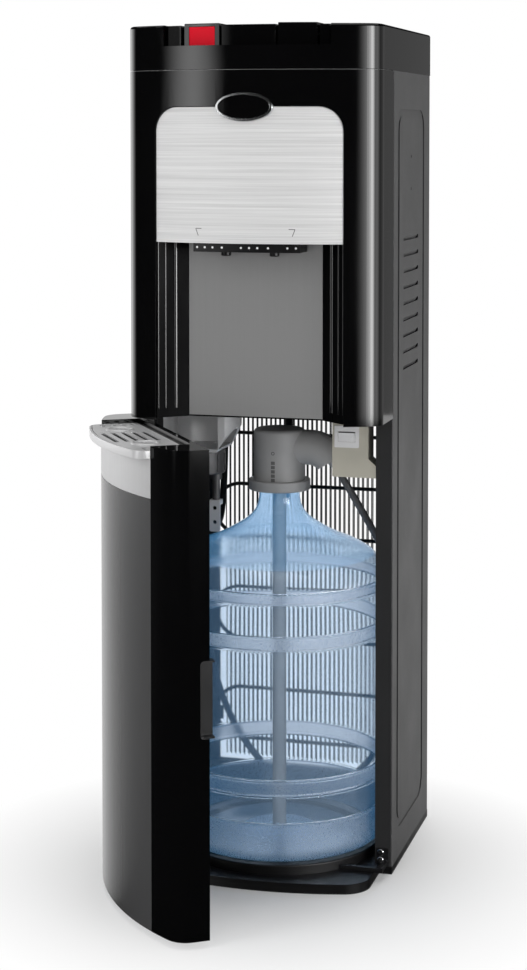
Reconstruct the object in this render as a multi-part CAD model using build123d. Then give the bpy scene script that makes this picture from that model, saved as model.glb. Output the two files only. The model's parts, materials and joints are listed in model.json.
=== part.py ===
from build123d import *
import os
from math import cos, sin, tan, pi, radians, sqrt

# Bottom load water cooler, in millimetres.
# X is across the front, +Y runs to the back and +Z is up. The origin lies on the floor, midway
# across, under the front edges of the two steel side panels. The door is drawn closed and is then
# swung open about its hinge, as it stands at rest.

os.makedirs("parts", exist_ok=True)

# ---- cabinet sizes ----
cabinet_width = 316.0
cabinet_height = 1040.0
side_depth = 227.0
front_bulge = 108.0
front_radius = 365.0
front_corner_radius = 26.0
cover_height = 53.5
shell_wall = 3.0
sheet = 1.0
panel_foot_gap = 9.0
half_width = cabinet_width / 2
cover_seam = cabinet_height - cover_height
# A slice of Y that holds the whole curve of the front over the middle of the cabinet.
slice_front = -front_bulge - 22.0
slice_back = -front_bulge + 48.0

# ---- running fits and clearances ----
pin_play = 0.06
part_gap = 0.3
seam_gap = 0.5
door_gap = 3.0
slide_gap = 0.4
touch_gap = 0.05

# ---- base ----
base_front = 97.0
base_front_radius = 440.0
base_half_front = half_width - 16.0
base_corner_radius = 34.0
base_rim_height = 12.0
platform_radius = 131.0
base_skirt = 6.0
base_floor = 4.0
base_rib = 8.0
pocket_places = (-102.0, -35.0, 35.0, 102.0)
pocket_half_width = 29.5
pocket_front = -80.0
pocket_middle = 104.0
corner_pocket_inset = 14.0
foot_radius = 13.0
foot_height = 6.0
foot_wall = 3.0
foot_inset_side = 112.0
foot_front = -62.0
foot_back = side_depth - 31.0

# ---- bottle and its probe, which set the height of the compartment ----
bottle_y = 55.0
bottle_floor = 24.0
bottle_radius = 135.0
bottle_height = 441.0
bottle_wall = 1.6
bottle_neck_radius = 26.0
bottle_neck_height = 13.0
bottle_base_corner = 20.0
shoulder_height = 109.0
groove_depth = 2.0
punt_height = 4.0
bottle_mouth_height = bottle_floor + bottle_height
shoulder_foot = bottle_mouth_height - shoulder_height
groove_bands = ((bottle_floor + 85.0, bottle_floor + 103.0), (shoulder_foot - 70.0, shoulder_foot - 54.0),
                (shoulder_foot - 14.0, shoulder_foot - 3.0))
# Radius and height of the points that the curve of the shoulder runs through.
shoulder_profile = ((bottle_radius, shoulder_foot), (bottle_radius - 15.0, shoulder_foot + 27.0),
                    (bottle_radius - 48.0, shoulder_foot + 43.0), (bottle_radius - 69.0, shoulder_foot + 54.0),
                    (bottle_radius - 90.0, shoulder_foot + 65.0), (bottle_neck_radius + 5.5, shoulder_foot + 78.0))
cap_radius = 32.5
cap_height = 64.0
cap_bottom = bottle_mouth_height + 10.0
cap_top = cap_bottom + cap_height
collar_radius = 39.0
collar_bottom = bottle_mouth_height - 3.0
elbow_radius = 22.0
elbow_bend_radius = 34.0
elbow_start = 40.0
elbow_height = cap_top - elbow_radius - 1.0
elbow_turn = 58.0
dip_tube_radius = 8.8
dip_tube_bottom = bottle_floor + 7.0
dip_tube_top = cap_bottom + 30.0
probe_clearance = 28.5

# ---- compartment ceiling, rear cover and tank shelf ----
ceiling_height = cap_top + probe_clearance
ceiling_thickness = 1.5
ceiling_front = -50.0
ceiling_flange = 9.0
ceiling_low = ceiling_height - ceiling_thickness
hang_top = ceiling_low - touch_gap
panel_bottom = ceiling_height - 3.5
# The space between the ceiling and the top cover is shared by the compressor and the tanks.
compressor_share = 0.48
tank_shelf_height = ceiling_height + compressor_share * (cover_seam - ceiling_height)
shelf_sheet = 1.5
shelf_flange = 14.0
shelf_top = tank_shelf_height + shelf_sheet
tank_tab_front = 46.0
tank_tab_back = 165.0
shelf_pipe_hole_x = 20.0
rear_cover_bottom = ceiling_height + 22.5
vent_count = 8
vent_pitch = 14.0
vent_length = 160.0
vent_height = 4.0
vent_drop = 166.5
vent_bottom = cover_seam - vent_drop
rail_sheet = 1.2
rail_lip = 14.0
low_rail_top = 58.0
high_rail_height = 44.5

# ---- side panels ----
front_flange = 21.4
rear_flange = 27.0
panel_bend_radius = 2.0
emboss_front = 29.0
emboss_back = 184.5
emboss_bottom = 50.0
emboss_top = cover_seam - 50.5
emboss_corner = 26.0
emboss_width = 9.0
emboss_depth = 1.4
louvre_count = 9
louvre_top = emboss_top - 156.0
louvre_pitch = 20.1
louvre_front = 59.0
louvre_back = 152.0
louvre_height = 5.0
louvre_blade = 7.0
louvre_tilt = 28.0
dimple_heights = (emboss_top - 94.8, emboss_top - 54.2)
dimple_y = 105.0
dimple_radius = 2.2
dimple_depth = 0.6

# ---- dispensing front ----
arch_half_width = half_width - 41.5
arch_top = cover_seam - 43.5
arch_corner_radius = 30.0
plate_bottom = arch_top - 163.0
plate_inset = 2.0
plate_thickness = 1.2
plate_gap = 0.8
niche_back_half_width = arch_half_width - 32.5
niche_depth_at = -58.0
niche_wall = 2.5
niche_reach = 40.0
skin_back = -40.0
niche_bottom = panel_bottom + 2.0
back_plate_thickness = 1.5
badge_width = 70.0
badge_height = 34.0
badge_centre_height = arch_top - 1.0
badge_rim = 3.2
badge_stand = 2.4
nozzle_spacing = 60.0
nozzle_radius = 6.0
nozzle_bore = 4.0
nozzle_tip = plate_bottom - 16.0
nozzle_rise = 26.0
nozzle_y = -80.0
housing_half_width = 66.0
housing_drop = 10.5
housing_back = -64.0
housing_inset = 5.0
housing_wall = 2.0
led_places = (-61, -51, -41, -29, -5, 5, 15, 28, 51, 61)
led_radius = 1.3
led_height = plate_bottom - 5.0

# ---- top cover and its two push buttons ----
cover_top_edge_radius = 3.5
notch_left = -104.8
notch_right = 101.8
notch_depth = 25.0
notch_back = -39.0
notch_lip = 6.0
lip_thickness = 2.0
deck_recess = 15.4
deck_depth = 38.0
deck_plate = 3.0
trough_plate = 6.0
left_block_end = -87.2
centre_block_half_width = 33.0
right_block_start = 85.4
right_block_end = 96.4
button_inner = 36.4
button_outer = 82.2
button_proud = 2.0
button_wall = 3.0
button_skirt_depth = 28.5
button_pivot_y = -44.5
button_pivot_depth = 11.0
button_pin_radius = 1.5
button_boss_radius = 4.0
spring_y = -59.0
spring_wire = 0.7
spring_mean_radius = 4.2
spring_turns = 5
spring_height = 14.0
switch_offset = 13.0
switch_y = -54.0
switch_height = 11.0
switch_plunger = 2.0
switch_gap = 1.2
lock_left = -75.8
lock_right = -42.1
lock_back = -73.0
lock_travel = 6.0
lock_wall = 2.5
notch_bottom = cabinet_height - notch_depth
deck_floor = cabinet_height - deck_depth
deck_top = deck_floor + deck_plate
button_skirt_bottom = cabinet_height - button_skirt_depth
button_pivot_z = cabinet_height - button_pivot_depth
spring_foot = deck_top + touch_gap
spring_top = deck_top + spring_height
switch_top = deck_top + switch_height
lock_bottom = notch_bottom - 0.8
lock_top = cabinet_height - 2.0

# ---- cold and hot tanks ----
cold_tank_x = 62.0
cold_tank_y = 112.0
cold_tank_radius = 58.0
insulation_base = 12.0
insulation_radius = 73.4
cold_tank_floor = shelf_top + insulation_base
cold_tank_height = cover_seam - 45.0 - cold_tank_floor
coil_tube_radius = 3.2
coil_pitch = 14.0
coil_start = 0.15 * cold_tank_height
coil_turns = round(0.61 * cold_tank_height / coil_pitch)
hot_tank_x = -82.0
hot_tank_y = 100.0
hot_tank_radius = 50.0
hot_tank_corner = 16.0
hot_tank_leg = 14.0
hot_tank_floor = shelf_top + hot_tank_leg
hot_tank_height = cover_seam - 63.0 - hot_tank_floor
heater_band_start = 0.23 * hot_tank_height
heater_band_height = 0.3 * hot_tank_height
heater_band_wall = 3.0
tank_wall = 1.2
thermostat_place = 0.69 * hot_tank_height
thermostat_radius = 8.0
thermostat_height = 9.0

# ---- compressor and condenser ----
compressor_x = 28.0
compressor_y = 128.0
compressor_radius = 62.0
compressor_foot = 12.0
compressor_plate = 3.0
compressor_clearance = 38.5
compressor_height = tank_shelf_height - compressor_clearance - ceiling_height - compressor_foot
compressor_low = ceiling_height + compressor_foot
compressor_bolt_x = 62.0
compressor_bolt_y = 44.0
grommet_radius = 11.0
grommet_neck = 4.95
grommet_cap = 4.0
condenser_y = side_depth + 9.0
condenser_tube_radius = 2.5
condenser_runs = 8
condenser_lowest = 84.0
condenser_highest = ceiling_height + 6.5
condenser_run_pitch = (condenser_highest - condenser_lowest) / (condenser_runs - 1)
condenser_half_width = 104.0
wire_radius = 0.75
wire_pitch = 6.4
wires_each_side = 19
wire_bottom = condenser_lowest - 22.0
wire_top = condenser_highest + 30.0
drier_x = 40.0 - half_width
drier_y = side_depth - 31.0
drier_radius = 9.0
drier_height = 70.0

# ---- pump group at the upper left of the compartment ----
pump_x = -95.5
pump_y = 34.0
pump_radius = 29.0
pump_height = 30.0
pump_top = ceiling_height - 55.5
pump_bottom = pump_top - pump_height
bell_radius = 44.0
bell_offset = 6.0
riser_radius = 5.0
riser_offset = 18.0
inlet_offset = -16.0
hose_radius = 4.5
hose_stand_off = 7.05
drain_x = -25.0
drain_y = side_depth - 31.0
drain_bottom = ceiling_height - 147.5
drain_radius = 5.0
boot_low_radius = 8.0
boot_top_radius = 27.5
boot_height = 32.0

# ---- switch box at the upper right of the compartment ----
box_right = half_width - 18.5
box_left = box_right - 58.5
box_bottom = ceiling_height - 78.5
box_front = 3.0
box_back = 30.0
box_wall = 2.0
box_step = 13.0
box_slope_low = box_bottom + 12.0
box_slope_high = box_bottom + 23.5
rocker_width = 21.0
rocker_height = 12.0
rocker_x = box_left + 18.5
rocker_z = ceiling_height - 28.5
rocker_pivot_radius = 1.2
rocker_pivot_depth = 2.2
frame_half_width = 15.5
frame_half_height = 13.5
frame_stand = 1.6

# ---- door ----
door_open_angle = 56.0
hinge_x = 12.0 - half_width
hinge_y = -18.0
hinge_pin_radius = 3.0
hinge_lug_radius = 7.5
hinge_plate = 3.0
low_lug_bottom = base_rim_height + hinge_plate + 2.0
low_lug_height = 10.0
high_lug_height = 11.5
door_bottom = 8.5
door_top = panel_bottom - door_gap
door_back = -35.0
door_floor = 34.0
skin_half_width = half_width - 46.0
skin_thickness = 2.0
tray_channel_bottom = door_top - 15.0
band_bottom = tray_channel_bottom - 45.0
liner_depth = 85.0
liner_edge = 38.0
liner_wall = 2.0
liner_top = tray_channel_bottom - 4.0
handle_bottom = 237.0
handle_top = 325.0
handle_width = 11.0
tray_top = door_top - 5.0
tray_front = 122.0
tray_back = 43.0
tray_half_width = skin_half_width - 0.5
tray_corner_radius = 16.0
tray_rim_wall = 3.0
tray_floor = 1.6
tray_low = tray_channel_bottom + slide_gap
grille_thickness = 1.8
grille_inset = 3.6
slot_rows = (-109.0, -96.5, -84.0, -71.5, -59.0)
slot_length = 76.0
short_slot_length = 13.0
short_slot_x = 97.0
slot_width = 6.0
ring_spacing = 116.0
ring_y = -81.0
ring_radius = 15.0
ring_wire = 2.2

# ---- rear fittings ----
gland_x = -82.0
gland_z = ceiling_height + 72.5
gland_bore = 3.75
rear_switch_x = (88.0, 112.0)
rear_switch_z = ceiling_height + 82.5
rear_rocker_width = 11.0
rear_rocker_height = 18.0
rear_face = side_depth + touch_gap
rocker_tilt = 7.0
screw_head_radius = 4.0
screw_head_height = 1.6
screw_stand = 0.02


def block(x0, x1, y0, y1, z0, z1):
    size = Box(x1 - x0, y1 - y0, z1 - z0)
    return Pos((x0 + x1) / 2, (y0 + y1) / 2, (z0 + z1) / 2) * size


def post(x, y, z0, z1, radius):
    return Pos(x, y, (z0 + z1) / 2) * Cylinder(radius, z1 - z0)


def rod_x(x0, x1, y, z, radius):
    return Pos((x0 + x1) / 2, y, z) * Rot(0, 90, 0) * Cylinder(radius, x1 - x0)


def rod_y(x, y0, y1, z, radius):
    return Pos(x, (y0 + y1) / 2, z) * Rot(90, 0, 0) * Cylinder(radius, y1 - y0)


def prism(sketch, z0, z1):
    return Pos(0, 0, z0) * extrude(sketch, z1 - z0, dir=(0, 0, 1))


def front_shape(inset, back):
    # Plan outline of the rounded front, set in by inset and cut square at Y = back.
    half = half_width - inset
    front = inset - front_bulge
    disc = Pos(0, front + front_radius - inset) * Circle(front_radius - inset)
    slab = Pos(0, (front + side_depth) / 2) * Rectangle(2 * half, side_depth - front)
    shape = disc & slab
    shape = fillet(shape.vertices().sort_by(Axis.Y)[:2], front_corner_radius - inset)
    if back > side_depth:
        tail = Pos(0, (side_depth + back) / 2 - 1) * Rectangle(2 * half, back - side_depth + 2)
        return shape + tail
    return shape & (Pos(0, (front + back) / 2 - 1) * Rectangle(2 * half, back - front + 2))


def front_skin(inset, thickness, back, z0, z1):
    # A curved wall that follows the front, from one inset to a deeper one.
    return prism(front_shape(inset, back) - front_shape(inset + thickness, back + 1), z0, z1)


def front_y(x, inset):
    # Y of the front surface at a given X, at a given inset.
    radius = front_radius - inset
    return inset - front_bulge + radius - sqrt(radius ** 2 - x ** 2)


def upright(sketch, y0, y1):
    # A sketch drawn with X across and its second axis up, made solid from y0 to y1.
    return Pos(0, y1, 0) * Rot(90, 0, 0) * extrude(sketch, y1 - y0, dir=(0, 0, 1))


def sideways(sketch, x0, x1):
    # A sketch drawn with its first axis along Y and its second up, made solid from x0 to x1.
    return Pos(x0, 0, 0) * Rot(0, 90, 90) * extrude(sketch, x1 - x0, dir=(0, 0, 1))


def swing(shape):
    # Carries a piece of the closed door to where it stands at rest.
    return Pos(hinge_x, hinge_y, 0) * Rot(0, 0, -door_open_angle) * Pos(-hinge_x, -hinge_y, 0) * shape


def save(name, *pieces):
    solids = [solid for piece in pieces for solid in piece.solids()]
    export_step(Compound(solids), "parts/" + name + ".step")


def tube_path(points):
    # Straight runs joined by arcs as large as the runs beside each corner allow.
    corners = [Vector(*point) for point in points]
    radii = []
    for before, corner, after in zip(corners, corners[1:], corners[2:]):
        run_in = corner - before
        run_out = after - corner
        half_turn = radians(run_in.get_angle(run_out)) / 2
        radii.append(0.45 * min(run_in.length, run_out.length) / tan(half_turn))
    return FilletPolyline(*corners, radius=radii), radii


def tube(name, points, radius):
    path, radii = tube_path(points)
    solid = sweep(Plane(origin=path @ 0, z_dir=path % 0) * Circle(radius), path=path)
    share = solid.volume / (pi * radius ** 2 * path.length)
    print(name, "length", round(path.length), "least radius", round(min(radii)), "volume share", round(share, 4))
    return solid


def screw(x, y, z, direction):
    # A pan head with a cross slot; direction is "front", "back" or "up".
    head = Cylinder(screw_head_radius, screw_head_height, align=(Align.CENTER, Align.CENTER, Align.MIN))
    head = fillet(head.edges().sort_by(Axis.Z)[-1], screw_head_height * 0.6)
    slot = Box(screw_head_radius * 1.1, 0.8, 1.2) + Box(0.8, screw_head_radius * 1.1, 1.2)
    head -= Pos(0, 0, screw_head_height) * slot
    turn = {"front": Rot(90, 0, 0), "back": Rot(-90, 0, 0), "up": Rot(0, 0, 0)}[direction]
    return Pos(x, y, z) * turn * head


# ---- base ----
def base_outline():
    disc = Pos(0, base_front_radius - base_front) * Circle(base_front_radius)
    slab = Pos(0, -base_front / 2 + 2) * Rectangle(2 * base_half_front, base_front + 4)
    front = disc & slab
    return fillet(front.vertices().sort_by(Axis.Y)[:2], base_corner_radius)


def make_base():
    wide = block(-half_width, half_width, 0, side_depth, 0, panel_foot_gap)
    inner = half_width - sheet - part_gap
    raised = block(-inner, inner, sheet + part_gap, side_depth - sheet - part_gap, 0, base_rim_height)
    raised = fillet(raised.edges().filter_by(Axis.Z), 3.0)
    base = prism(base_outline(), 0, base_rim_height) + wide + raised
    platform = post(0, bottle_y, base_rim_height, bottle_floor, platform_radius)
    rear_edge = side_depth - sheet - part_gap
    rear_block = block(-inner, inner, bottle_y + 60, rear_edge, base_rim_height, bottle_floor)
    base += fillet(platform.edges().sort_by(Axis.Z)[-1], 2.0)
    base += fillet(rear_block.edges().filter_by(Axis.Z), 3.0)
    # Slots for the front flanges of the side panels.
    for side in (-1, 1):
        slot = block(half_width - front_flange - part_gap, half_width + 1, -part_gap, sheet + part_gap,
                     panel_foot_gap, bottle_floor)
        base -= slot if side > 0 else mirror(slot, Plane.YZ)
    # Pockets under the floor leave a skirt and ribs; a rib runs through the origin both ways.
    pocket_top = base_rim_height - base_floor
    rows = [(pocket_front, -base_rib / 2), (base_rib / 2, pocket_middle),
            (pocket_middle + base_rib, side_depth - base_skirt)]
    for place in pocket_places:
        outer_column = place in (pocket_places[0], pocket_places[-1])
        for low, high in rows:
            near = low + corner_pocket_inset if outer_column and low == pocket_front else low
            base -= block(place - pocket_half_width, place + pocket_half_width, near, high, 0, pocket_top)
    for x in (-foot_inset_side, foot_inset_side):
        for y in (foot_front, foot_back):
            base += post(x, y, 0, pocket_top, foot_radius + foot_wall)
            base -= post(x, y, 0, foot_height, foot_radius)
    return base


def make_feet():
    feet = []
    for x in (-foot_inset_side, foot_inset_side):
        for y in (foot_front, foot_back):
            foot = post(x, y, 0, foot_height, foot_radius - part_gap)
            feet.append(chamfer(foot.edges().sort_by(Axis.Z)[0], 0.8))
    return feet


# ---- side panels ----
def emboss_ring(width):
    middle_y = (emboss_front + emboss_back) / 2
    middle_z = (emboss_bottom + emboss_top) / 2
    long = emboss_back - emboss_front
    tall = emboss_top - emboss_bottom
    outer = RectangleRounded(long + width, tall + width, emboss_corner)
    inner = RectangleRounded(long - width, tall - width, emboss_corner - width)
    return Pos(middle_y, middle_z) * (outer - inner)


def make_right_panel():
    outside = Pos(half_width - 60, side_depth / 2) * Rectangle(120, side_depth)
    outside = fillet(outside.vertices().sort_by(Axis.X)[-2:], panel_bend_radius)
    inside = Pos(half_width - sheet - 60, side_depth / 2) * Rectangle(120, side_depth - 2 * sheet)
    inside = fillet(inside.vertices().sort_by(Axis.X)[-2:], panel_bend_radius - sheet)
    panel = prism(outside - inside, panel_foot_gap, cover_seam)
    low_x = half_width - 130
    panel -= block(low_x, half_width - front_flange, -1, sheet + 0.5, 0, cabinet_height)
    panel -= block(low_x, half_width - rear_flange, side_depth - sheet - 0.5, side_depth + 1, 0, cabinet_height)
    # The pressed frame: the sheet keeps its thickness, so the groove stands out inside.
    bump = sideways(emboss_ring(emboss_width + 2), half_width - sheet - emboss_depth, half_width - sheet)
    groove = sideways(emboss_ring(emboss_width), half_width - emboss_depth, half_width + 1)
    panel = panel + bump - groove
    middle = (louvre_front + louvre_back) / 2
    for row in range(louvre_count):
        height = louvre_top - row * louvre_pitch
        slot = Pos(middle, height) * SlotOverall(louvre_back - louvre_front, louvre_height)
        panel -= sideways(slot, half_width - 2 * sheet, half_width + 1)
        blade = Box(sheet, louvre_back - louvre_front - 4, louvre_blade)
        top = height + louvre_height / 2 + 0.8
        root = Pos(half_width - sheet / 2 - 0.25, middle, top)
        hang = root * Rot(0, louvre_tilt, 0) * Pos(0, 0, -louvre_blade / 2)
        panel += (hang * blade) & block(half_width - 12, half_width - 0.05, 0, side_depth, 0, cabinet_height)
    for height in dimple_heights:
        panel -= rod_x(half_width - dimple_depth, half_width + 1, dimple_y, height, dimple_radius)
    return panel


def make_rear_rails():
    inner = half_width - sheet - part_gap
    rail_y = side_depth - sheet - part_gap
    low = block(-inner, inner, rail_y - rail_sheet, rail_y, bottle_floor + part_gap, low_rail_top)
    low += block(-inner, inner, rail_y - rail_lip, rail_y, low_rail_top - rail_sheet, low_rail_top)
    high_top = cover_seam - 2
    high_low = high_top - high_rail_height
    high = block(-inner, inner, rail_y - rail_sheet, rail_y, high_low, high_top)
    high += block(-inner, inner, rail_y - rail_lip, rail_y, high_low, high_low + rail_sheet)
    return low, high


# ---- dispensing front ----
def arch_sketch(half, bottom, top, corner):
    shape = Pos(0, (bottom + top) / 2) * Rectangle(2 * half, top - bottom)
    return fillet(shape.vertices().sort_by(Axis.Y)[-2:], corner)


def badge_prism(grow):
    outline = Pos(0, badge_centre_height) * Ellipse(badge_width / 2 + grow, badge_height / 2 + grow)
    return upright(outline, slice_front, slice_back)


def make_front_panel():
    top = cover_seam - seam_gap
    panel = front_skin(0, shell_wall, 0, panel_bottom, top)
    arch = arch_sketch(arch_half_width, panel_bottom - 10, arch_top, arch_corner_radius)
    panel -= upright(arch, slice_front, slice_back)
    sole = prism(front_shape(shell_wall, 0), panel_bottom, panel_bottom + shell_wall)
    clear = arch_half_width + niche_wall + 1.0
    sole -= block(-clear, clear, slice_front, 10, 0, cabinet_height)
    panel += sole
    # Ribs behind the wall keep the niche liner in place.
    for side in (-1, 1):
        x0 = side * (clear + 2)
        x1 = side * (half_width - 2)
        panel += block(min(x0, x1), max(x0, x1), -12, -10, panel_bottom, top)
    panel -= post(hinge_x, hinge_y, panel_bottom - 1, panel_bottom + shell_wall + 1, hinge_pin_radius)
    return panel - badge_prism(part_gap)


def make_face_plate():
    plate = front_skin(plate_inset, plate_thickness, skin_back, plate_bottom - 1, arch_top + 1)
    half = arch_half_width - plate_gap
    outline = arch_sketch(half, plate_bottom, arch_top - plate_gap, arch_corner_radius - plate_gap)
    plate &= upright(outline, slice_front, slice_back)
    return plate - badge_prism(part_gap)


def make_badge():
    low = badge_centre_height - badge_height
    high = badge_centre_height + badge_height
    ring = badge_prism(0) - badge_prism(-badge_rim)
    bezel = ring & front_skin(-badge_stand, badge_stand + 5, skin_back, low, high)
    dish = front_skin(1.3 - badge_stand, badge_stand + 3.5, skin_back, low, high)
    insert = badge_prism(-badge_rim - touch_gap) & dish
    return bezel, insert


def niche_mouth():
    # Y where the flared walls begin, just behind the wall of the front panel.
    return front_y(arch_half_width + niche_wall, shell_wall) + part_gap


def niche_polygon(grow):
    # Plan of the flared recess; grow widens it to the outside of the liner.
    mouth_y = niche_mouth()
    mouth = arch_half_width + grow
    back = niche_back_half_width + grow
    deep = niche_depth_at + back_plate_thickness + grow
    front = mouth_y - niche_reach
    return Polygon((-mouth, front), (-mouth, mouth_y), (-back, deep), (back, deep), (mouth, mouth_y), (mouth, front),
                   align=None)


def make_niche_liner():
    top = plate_bottom + shell_wall
    liner = prism(niche_polygon(niche_wall), niche_bottom, top) - prism(niche_polygon(0), 0, cabinet_height)
    liner -= block(-half_width, half_width, slice_front, niche_mouth(), 0, cabinet_height)
    roof_shape = front_shape(plate_inset + plate_thickness + part_gap, 0) & niche_polygon(0)
    roof = prism(roof_shape, plate_bottom + 0.6, top)
    liner += roof
    for side in (-1, 1):
        liner -= post(side * nozzle_spacing / 2, nozzle_y, plate_bottom - 5, top + 5, nozzle_radius + 1.0)
    return liner


def make_niche_back_plate():
    deep = niche_depth_at + back_plate_thickness
    half = niche_back_half_width - part_gap
    return block(-half, half, niche_depth_at, deep - 0.05, niche_bottom + 2, plate_bottom + 0.2)


def make_nozzle_housing():
    low = plate_bottom - housing_drop
    high = plate_bottom + 0.4
    trim = block(-housing_half_width, housing_half_width, slice_front, housing_back, 0, cabinet_height)
    shell = prism(front_shape(housing_inset, 0), low, high) & trim
    wall = housing_wall
    half = housing_half_width - wall
    inner = block(-half, half, slice_front, housing_back - wall, 0, cabinet_height)
    shell -= prism(front_shape(housing_inset + wall, 0), low + wall, high + 1) & inner
    for side in (-1, 1):
        x = side * nozzle_spacing / 2
        shell += post(x, nozzle_y, low, high, nozzle_radius + 2.5)
        shell -= post(x, nozzle_y, low - 1, high + 1, nozzle_radius + 0.02)
    for x in led_places:
        face = front_y(x, housing_inset)
        shell -= rod_y(x, face - 1, face + 1.5, led_height, led_radius + 0.02)
    return shell


def make_leds():
    lights = []
    for x in led_places:
        face = front_y(x, housing_inset)
        lights.append(rod_y(x, face - 0.2, face + 1.5, led_height, led_radius))
    return lights


def make_nozzle(side):
    x = side * nozzle_spacing / 2
    body = post(x, nozzle_y, nozzle_tip, plate_bottom + nozzle_rise, nozzle_radius)
    body = chamfer(body.edges().sort_by(Axis.Z)[0], 1.0)
    body += post(x, nozzle_y, plate_bottom + shell_wall + 0.2, plate_bottom + shell_wall + 3, nozzle_radius + 4)
    return body - post(x, nozzle_y, nozzle_tip - 1, plate_bottom + nozzle_rise + 1, nozzle_bore)


# ---- top cover, deck and buttons ----
def make_top_cover():
    back = side_depth + sheet + 0.5
    cover = prism(front_shape(0, back), cover_seam, cabinet_height)
    top_edges = cover.faces().sort_by(Axis.Z)[-1].edges()
    cover = fillet(top_edges, cover_top_edge_radius)
    cover -= prism(front_shape(shell_wall, back - shell_wall), cover_seam - 1, cabinet_height - shell_wall)
    cover -= block(notch_left, notch_right, slice_front, notch_back, notch_bottom, cabinet_height + 5)
    # Walls at the back and both ends of the notch close the shell, each with a lip that the deck lies on.
    wall_top = cabinet_height - shell_wall + 0.5
    lip_low = deck_floor - touch_gap - lip_thickness
    inside = prism(front_shape(shell_wall - 0.5, notch_back + niche_wall), lip_low, wall_top)
    walls = inside & block(notch_left - niche_wall, notch_right + niche_wall, slice_front, notch_back + niche_wall,
                           lip_low, wall_top)
    walls -= block(notch_left, notch_right, slice_front, notch_back, deck_floor - touch_gap, cabinet_height)
    walls -= block(notch_left + notch_lip, notch_right - notch_lip, slice_front, notch_back - notch_lip, 0,
                   cabinet_height)
    return cover + walls


def deck_block(x0, x1, z0, z1, back):
    shape = prism(front_shape(shell_wall + deck_recess, back), z0, z1)
    return shape & block(x0, x1, slice_front, back, z0, z1)


def make_button_deck():
    back = notch_back - part_gap
    left = notch_left + part_gap
    right = notch_right - part_gap
    plan = block(left, right, slice_front, back, 0, cabinet_height)
    deck = prism(front_shape(shell_wall + part_gap, back), deck_floor, deck_top) & plan
    # A shallow trough runs along the front, ahead of the blocks and the buttons.
    trough_top = deck_floor + trough_plate
    trough = front_skin(shell_wall + part_gap, deck_recess - slide_gap, back, deck_floor, trough_top)
    deck += trough & plan
    spans = ((left, left_block_end), (-centre_block_half_width, centre_block_half_width),
             (right_block_start, right_block_end))
    for x0, x1 in spans:
        deck += deck_block(x0, x1, deck_floor, cabinet_height, back)
    return deck - rod_x(left_block_end - 3, right_block_start + 5, button_pivot_y, button_pivot_z, button_pin_radius)


def make_button(side):
    x0 = min(side * button_inner, side * button_outer)
    x1 = max(side * button_inner, side * button_outer)
    top = cabinet_height + button_proud
    ceiling = top - button_wall
    rear = button_pivot_y + button_boss_radius
    body = deck_block(x0, x1, button_skirt_bottom, top, rear)
    top_edges = body.faces().sort_by(Axis.Z)[-1].edges()
    body = fillet(top_edges, 1.0)
    hollow_front = front_y(button_outer, shell_wall + deck_recess) + button_wall
    body -= block(x0 + button_wall, x1 - button_wall, hollow_front, button_pivot_y - 6, 0, ceiling)
    body -= block(x0 - 1, x1 + 1, hollow_front, 0, 0, button_pivot_z - 6)
    # The rear lower edge is rounded about the pivot pin.
    body -= block(x0 - 1, x1 + 1, button_pivot_y, 0, 0, button_pivot_z)
    body += rod_x(x0, x1, button_pivot_y, button_pivot_z, button_boss_radius)
    middle = (x0 + x1) / 2
    body += post(middle, spring_y, spring_top, ceiling + 0.5, 4.0)
    body += post(middle + switch_offset, switch_y, switch_top + switch_plunger + switch_gap, ceiling + 0.5, 2.0)
    return body - rod_x(x0 - 1, x1 + 1, button_pivot_y, button_pivot_z, button_pin_radius + pin_play)


def make_hot_button():
    # Behind its front the hot button has a guide with a pocket that the red slide is pushed into.
    x0 = lock_left - slide_gap
    x1 = lock_right + slide_gap
    pocket_back = lock_back + lock_travel + 0.5
    guide = deck_block(x0 - lock_wall, x1 + lock_wall, button_skirt_bottom, cabinet_height, pocket_back + lock_wall)
    pocket = deck_block(x0, x1, lock_bottom - slide_gap, lock_top + slide_gap, pocket_back)
    return make_button(-1) + guide - pocket


def make_lock_slide():
    slide = deck_block(lock_left, lock_right, lock_bottom, lock_top, lock_back)
    return chamfer(slide.edges().filter_by(Axis.Y), 0.6)


def make_pins():
    # The left pin ends in the left and middle blocks of the deck, the right pin in the middle and right ones.
    place = (button_pivot_y, button_pivot_z, button_pin_radius)
    left = rod_x(left_block_end - 3, -centre_block_half_width + 3, *place)
    right = rod_x(centre_block_half_width - 3, right_block_start + 5, *place)
    return left, right


def make_spring(x, y, z0, z1, turns, mean, wire):
    rise = z1 - z0 - 2 * wire
    path = Helix(rise / turns, rise, mean)
    coil = sweep(Plane(origin=path @ 0, z_dir=path % 0) * Circle(wire), path=path)
    print("spring turns", turns, "least gap", round(rise / turns - 2 * wire, 2))
    return Pos(x, y, z0 + wire) * coil


def make_button_switches():
    switches = []
    for side in (-1, 1):
        x = side * (button_inner + button_outer) / 2 + switch_offset
        body = block(x - 3, x + 3, switch_y - 7, switch_y + 7, deck_top, switch_top)
        switches.append(body + post(x, switch_y, switch_top, switch_top + switch_plunger, 1.5))
    return switches


# ---- ceiling, rear cover and tank shelf ----
def make_ceiling():
    inner = half_width - sheet - 1.6
    back = side_depth - sheet - part_gap
    low = ceiling_low
    plate = block(-inner, inner, ceiling_front, back, low, ceiling_height)
    plate -= block(-inner - 1, -front_edge_half(), ceiling_front - 1, 2, 0, cabinet_height)
    plate -= block(front_edge_half(), inner + 1, ceiling_front - 1, 2, 0, cabinet_height)
    plate += block(-front_edge_half() + 1, front_edge_half() - 1, ceiling_front, ceiling_front + 1.2, low,
                   ceiling_height + 7)
    for x in (-inner, inner - 1.2):
        plate += block(x, x + 1.2, 4, back, low, ceiling_height + ceiling_flange)
    return plate


def front_edge_half():
    # Half width of the ceiling plate where it runs between the pillars of the front panel.
    return niche_back_half_width + niche_wall + 8


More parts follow.
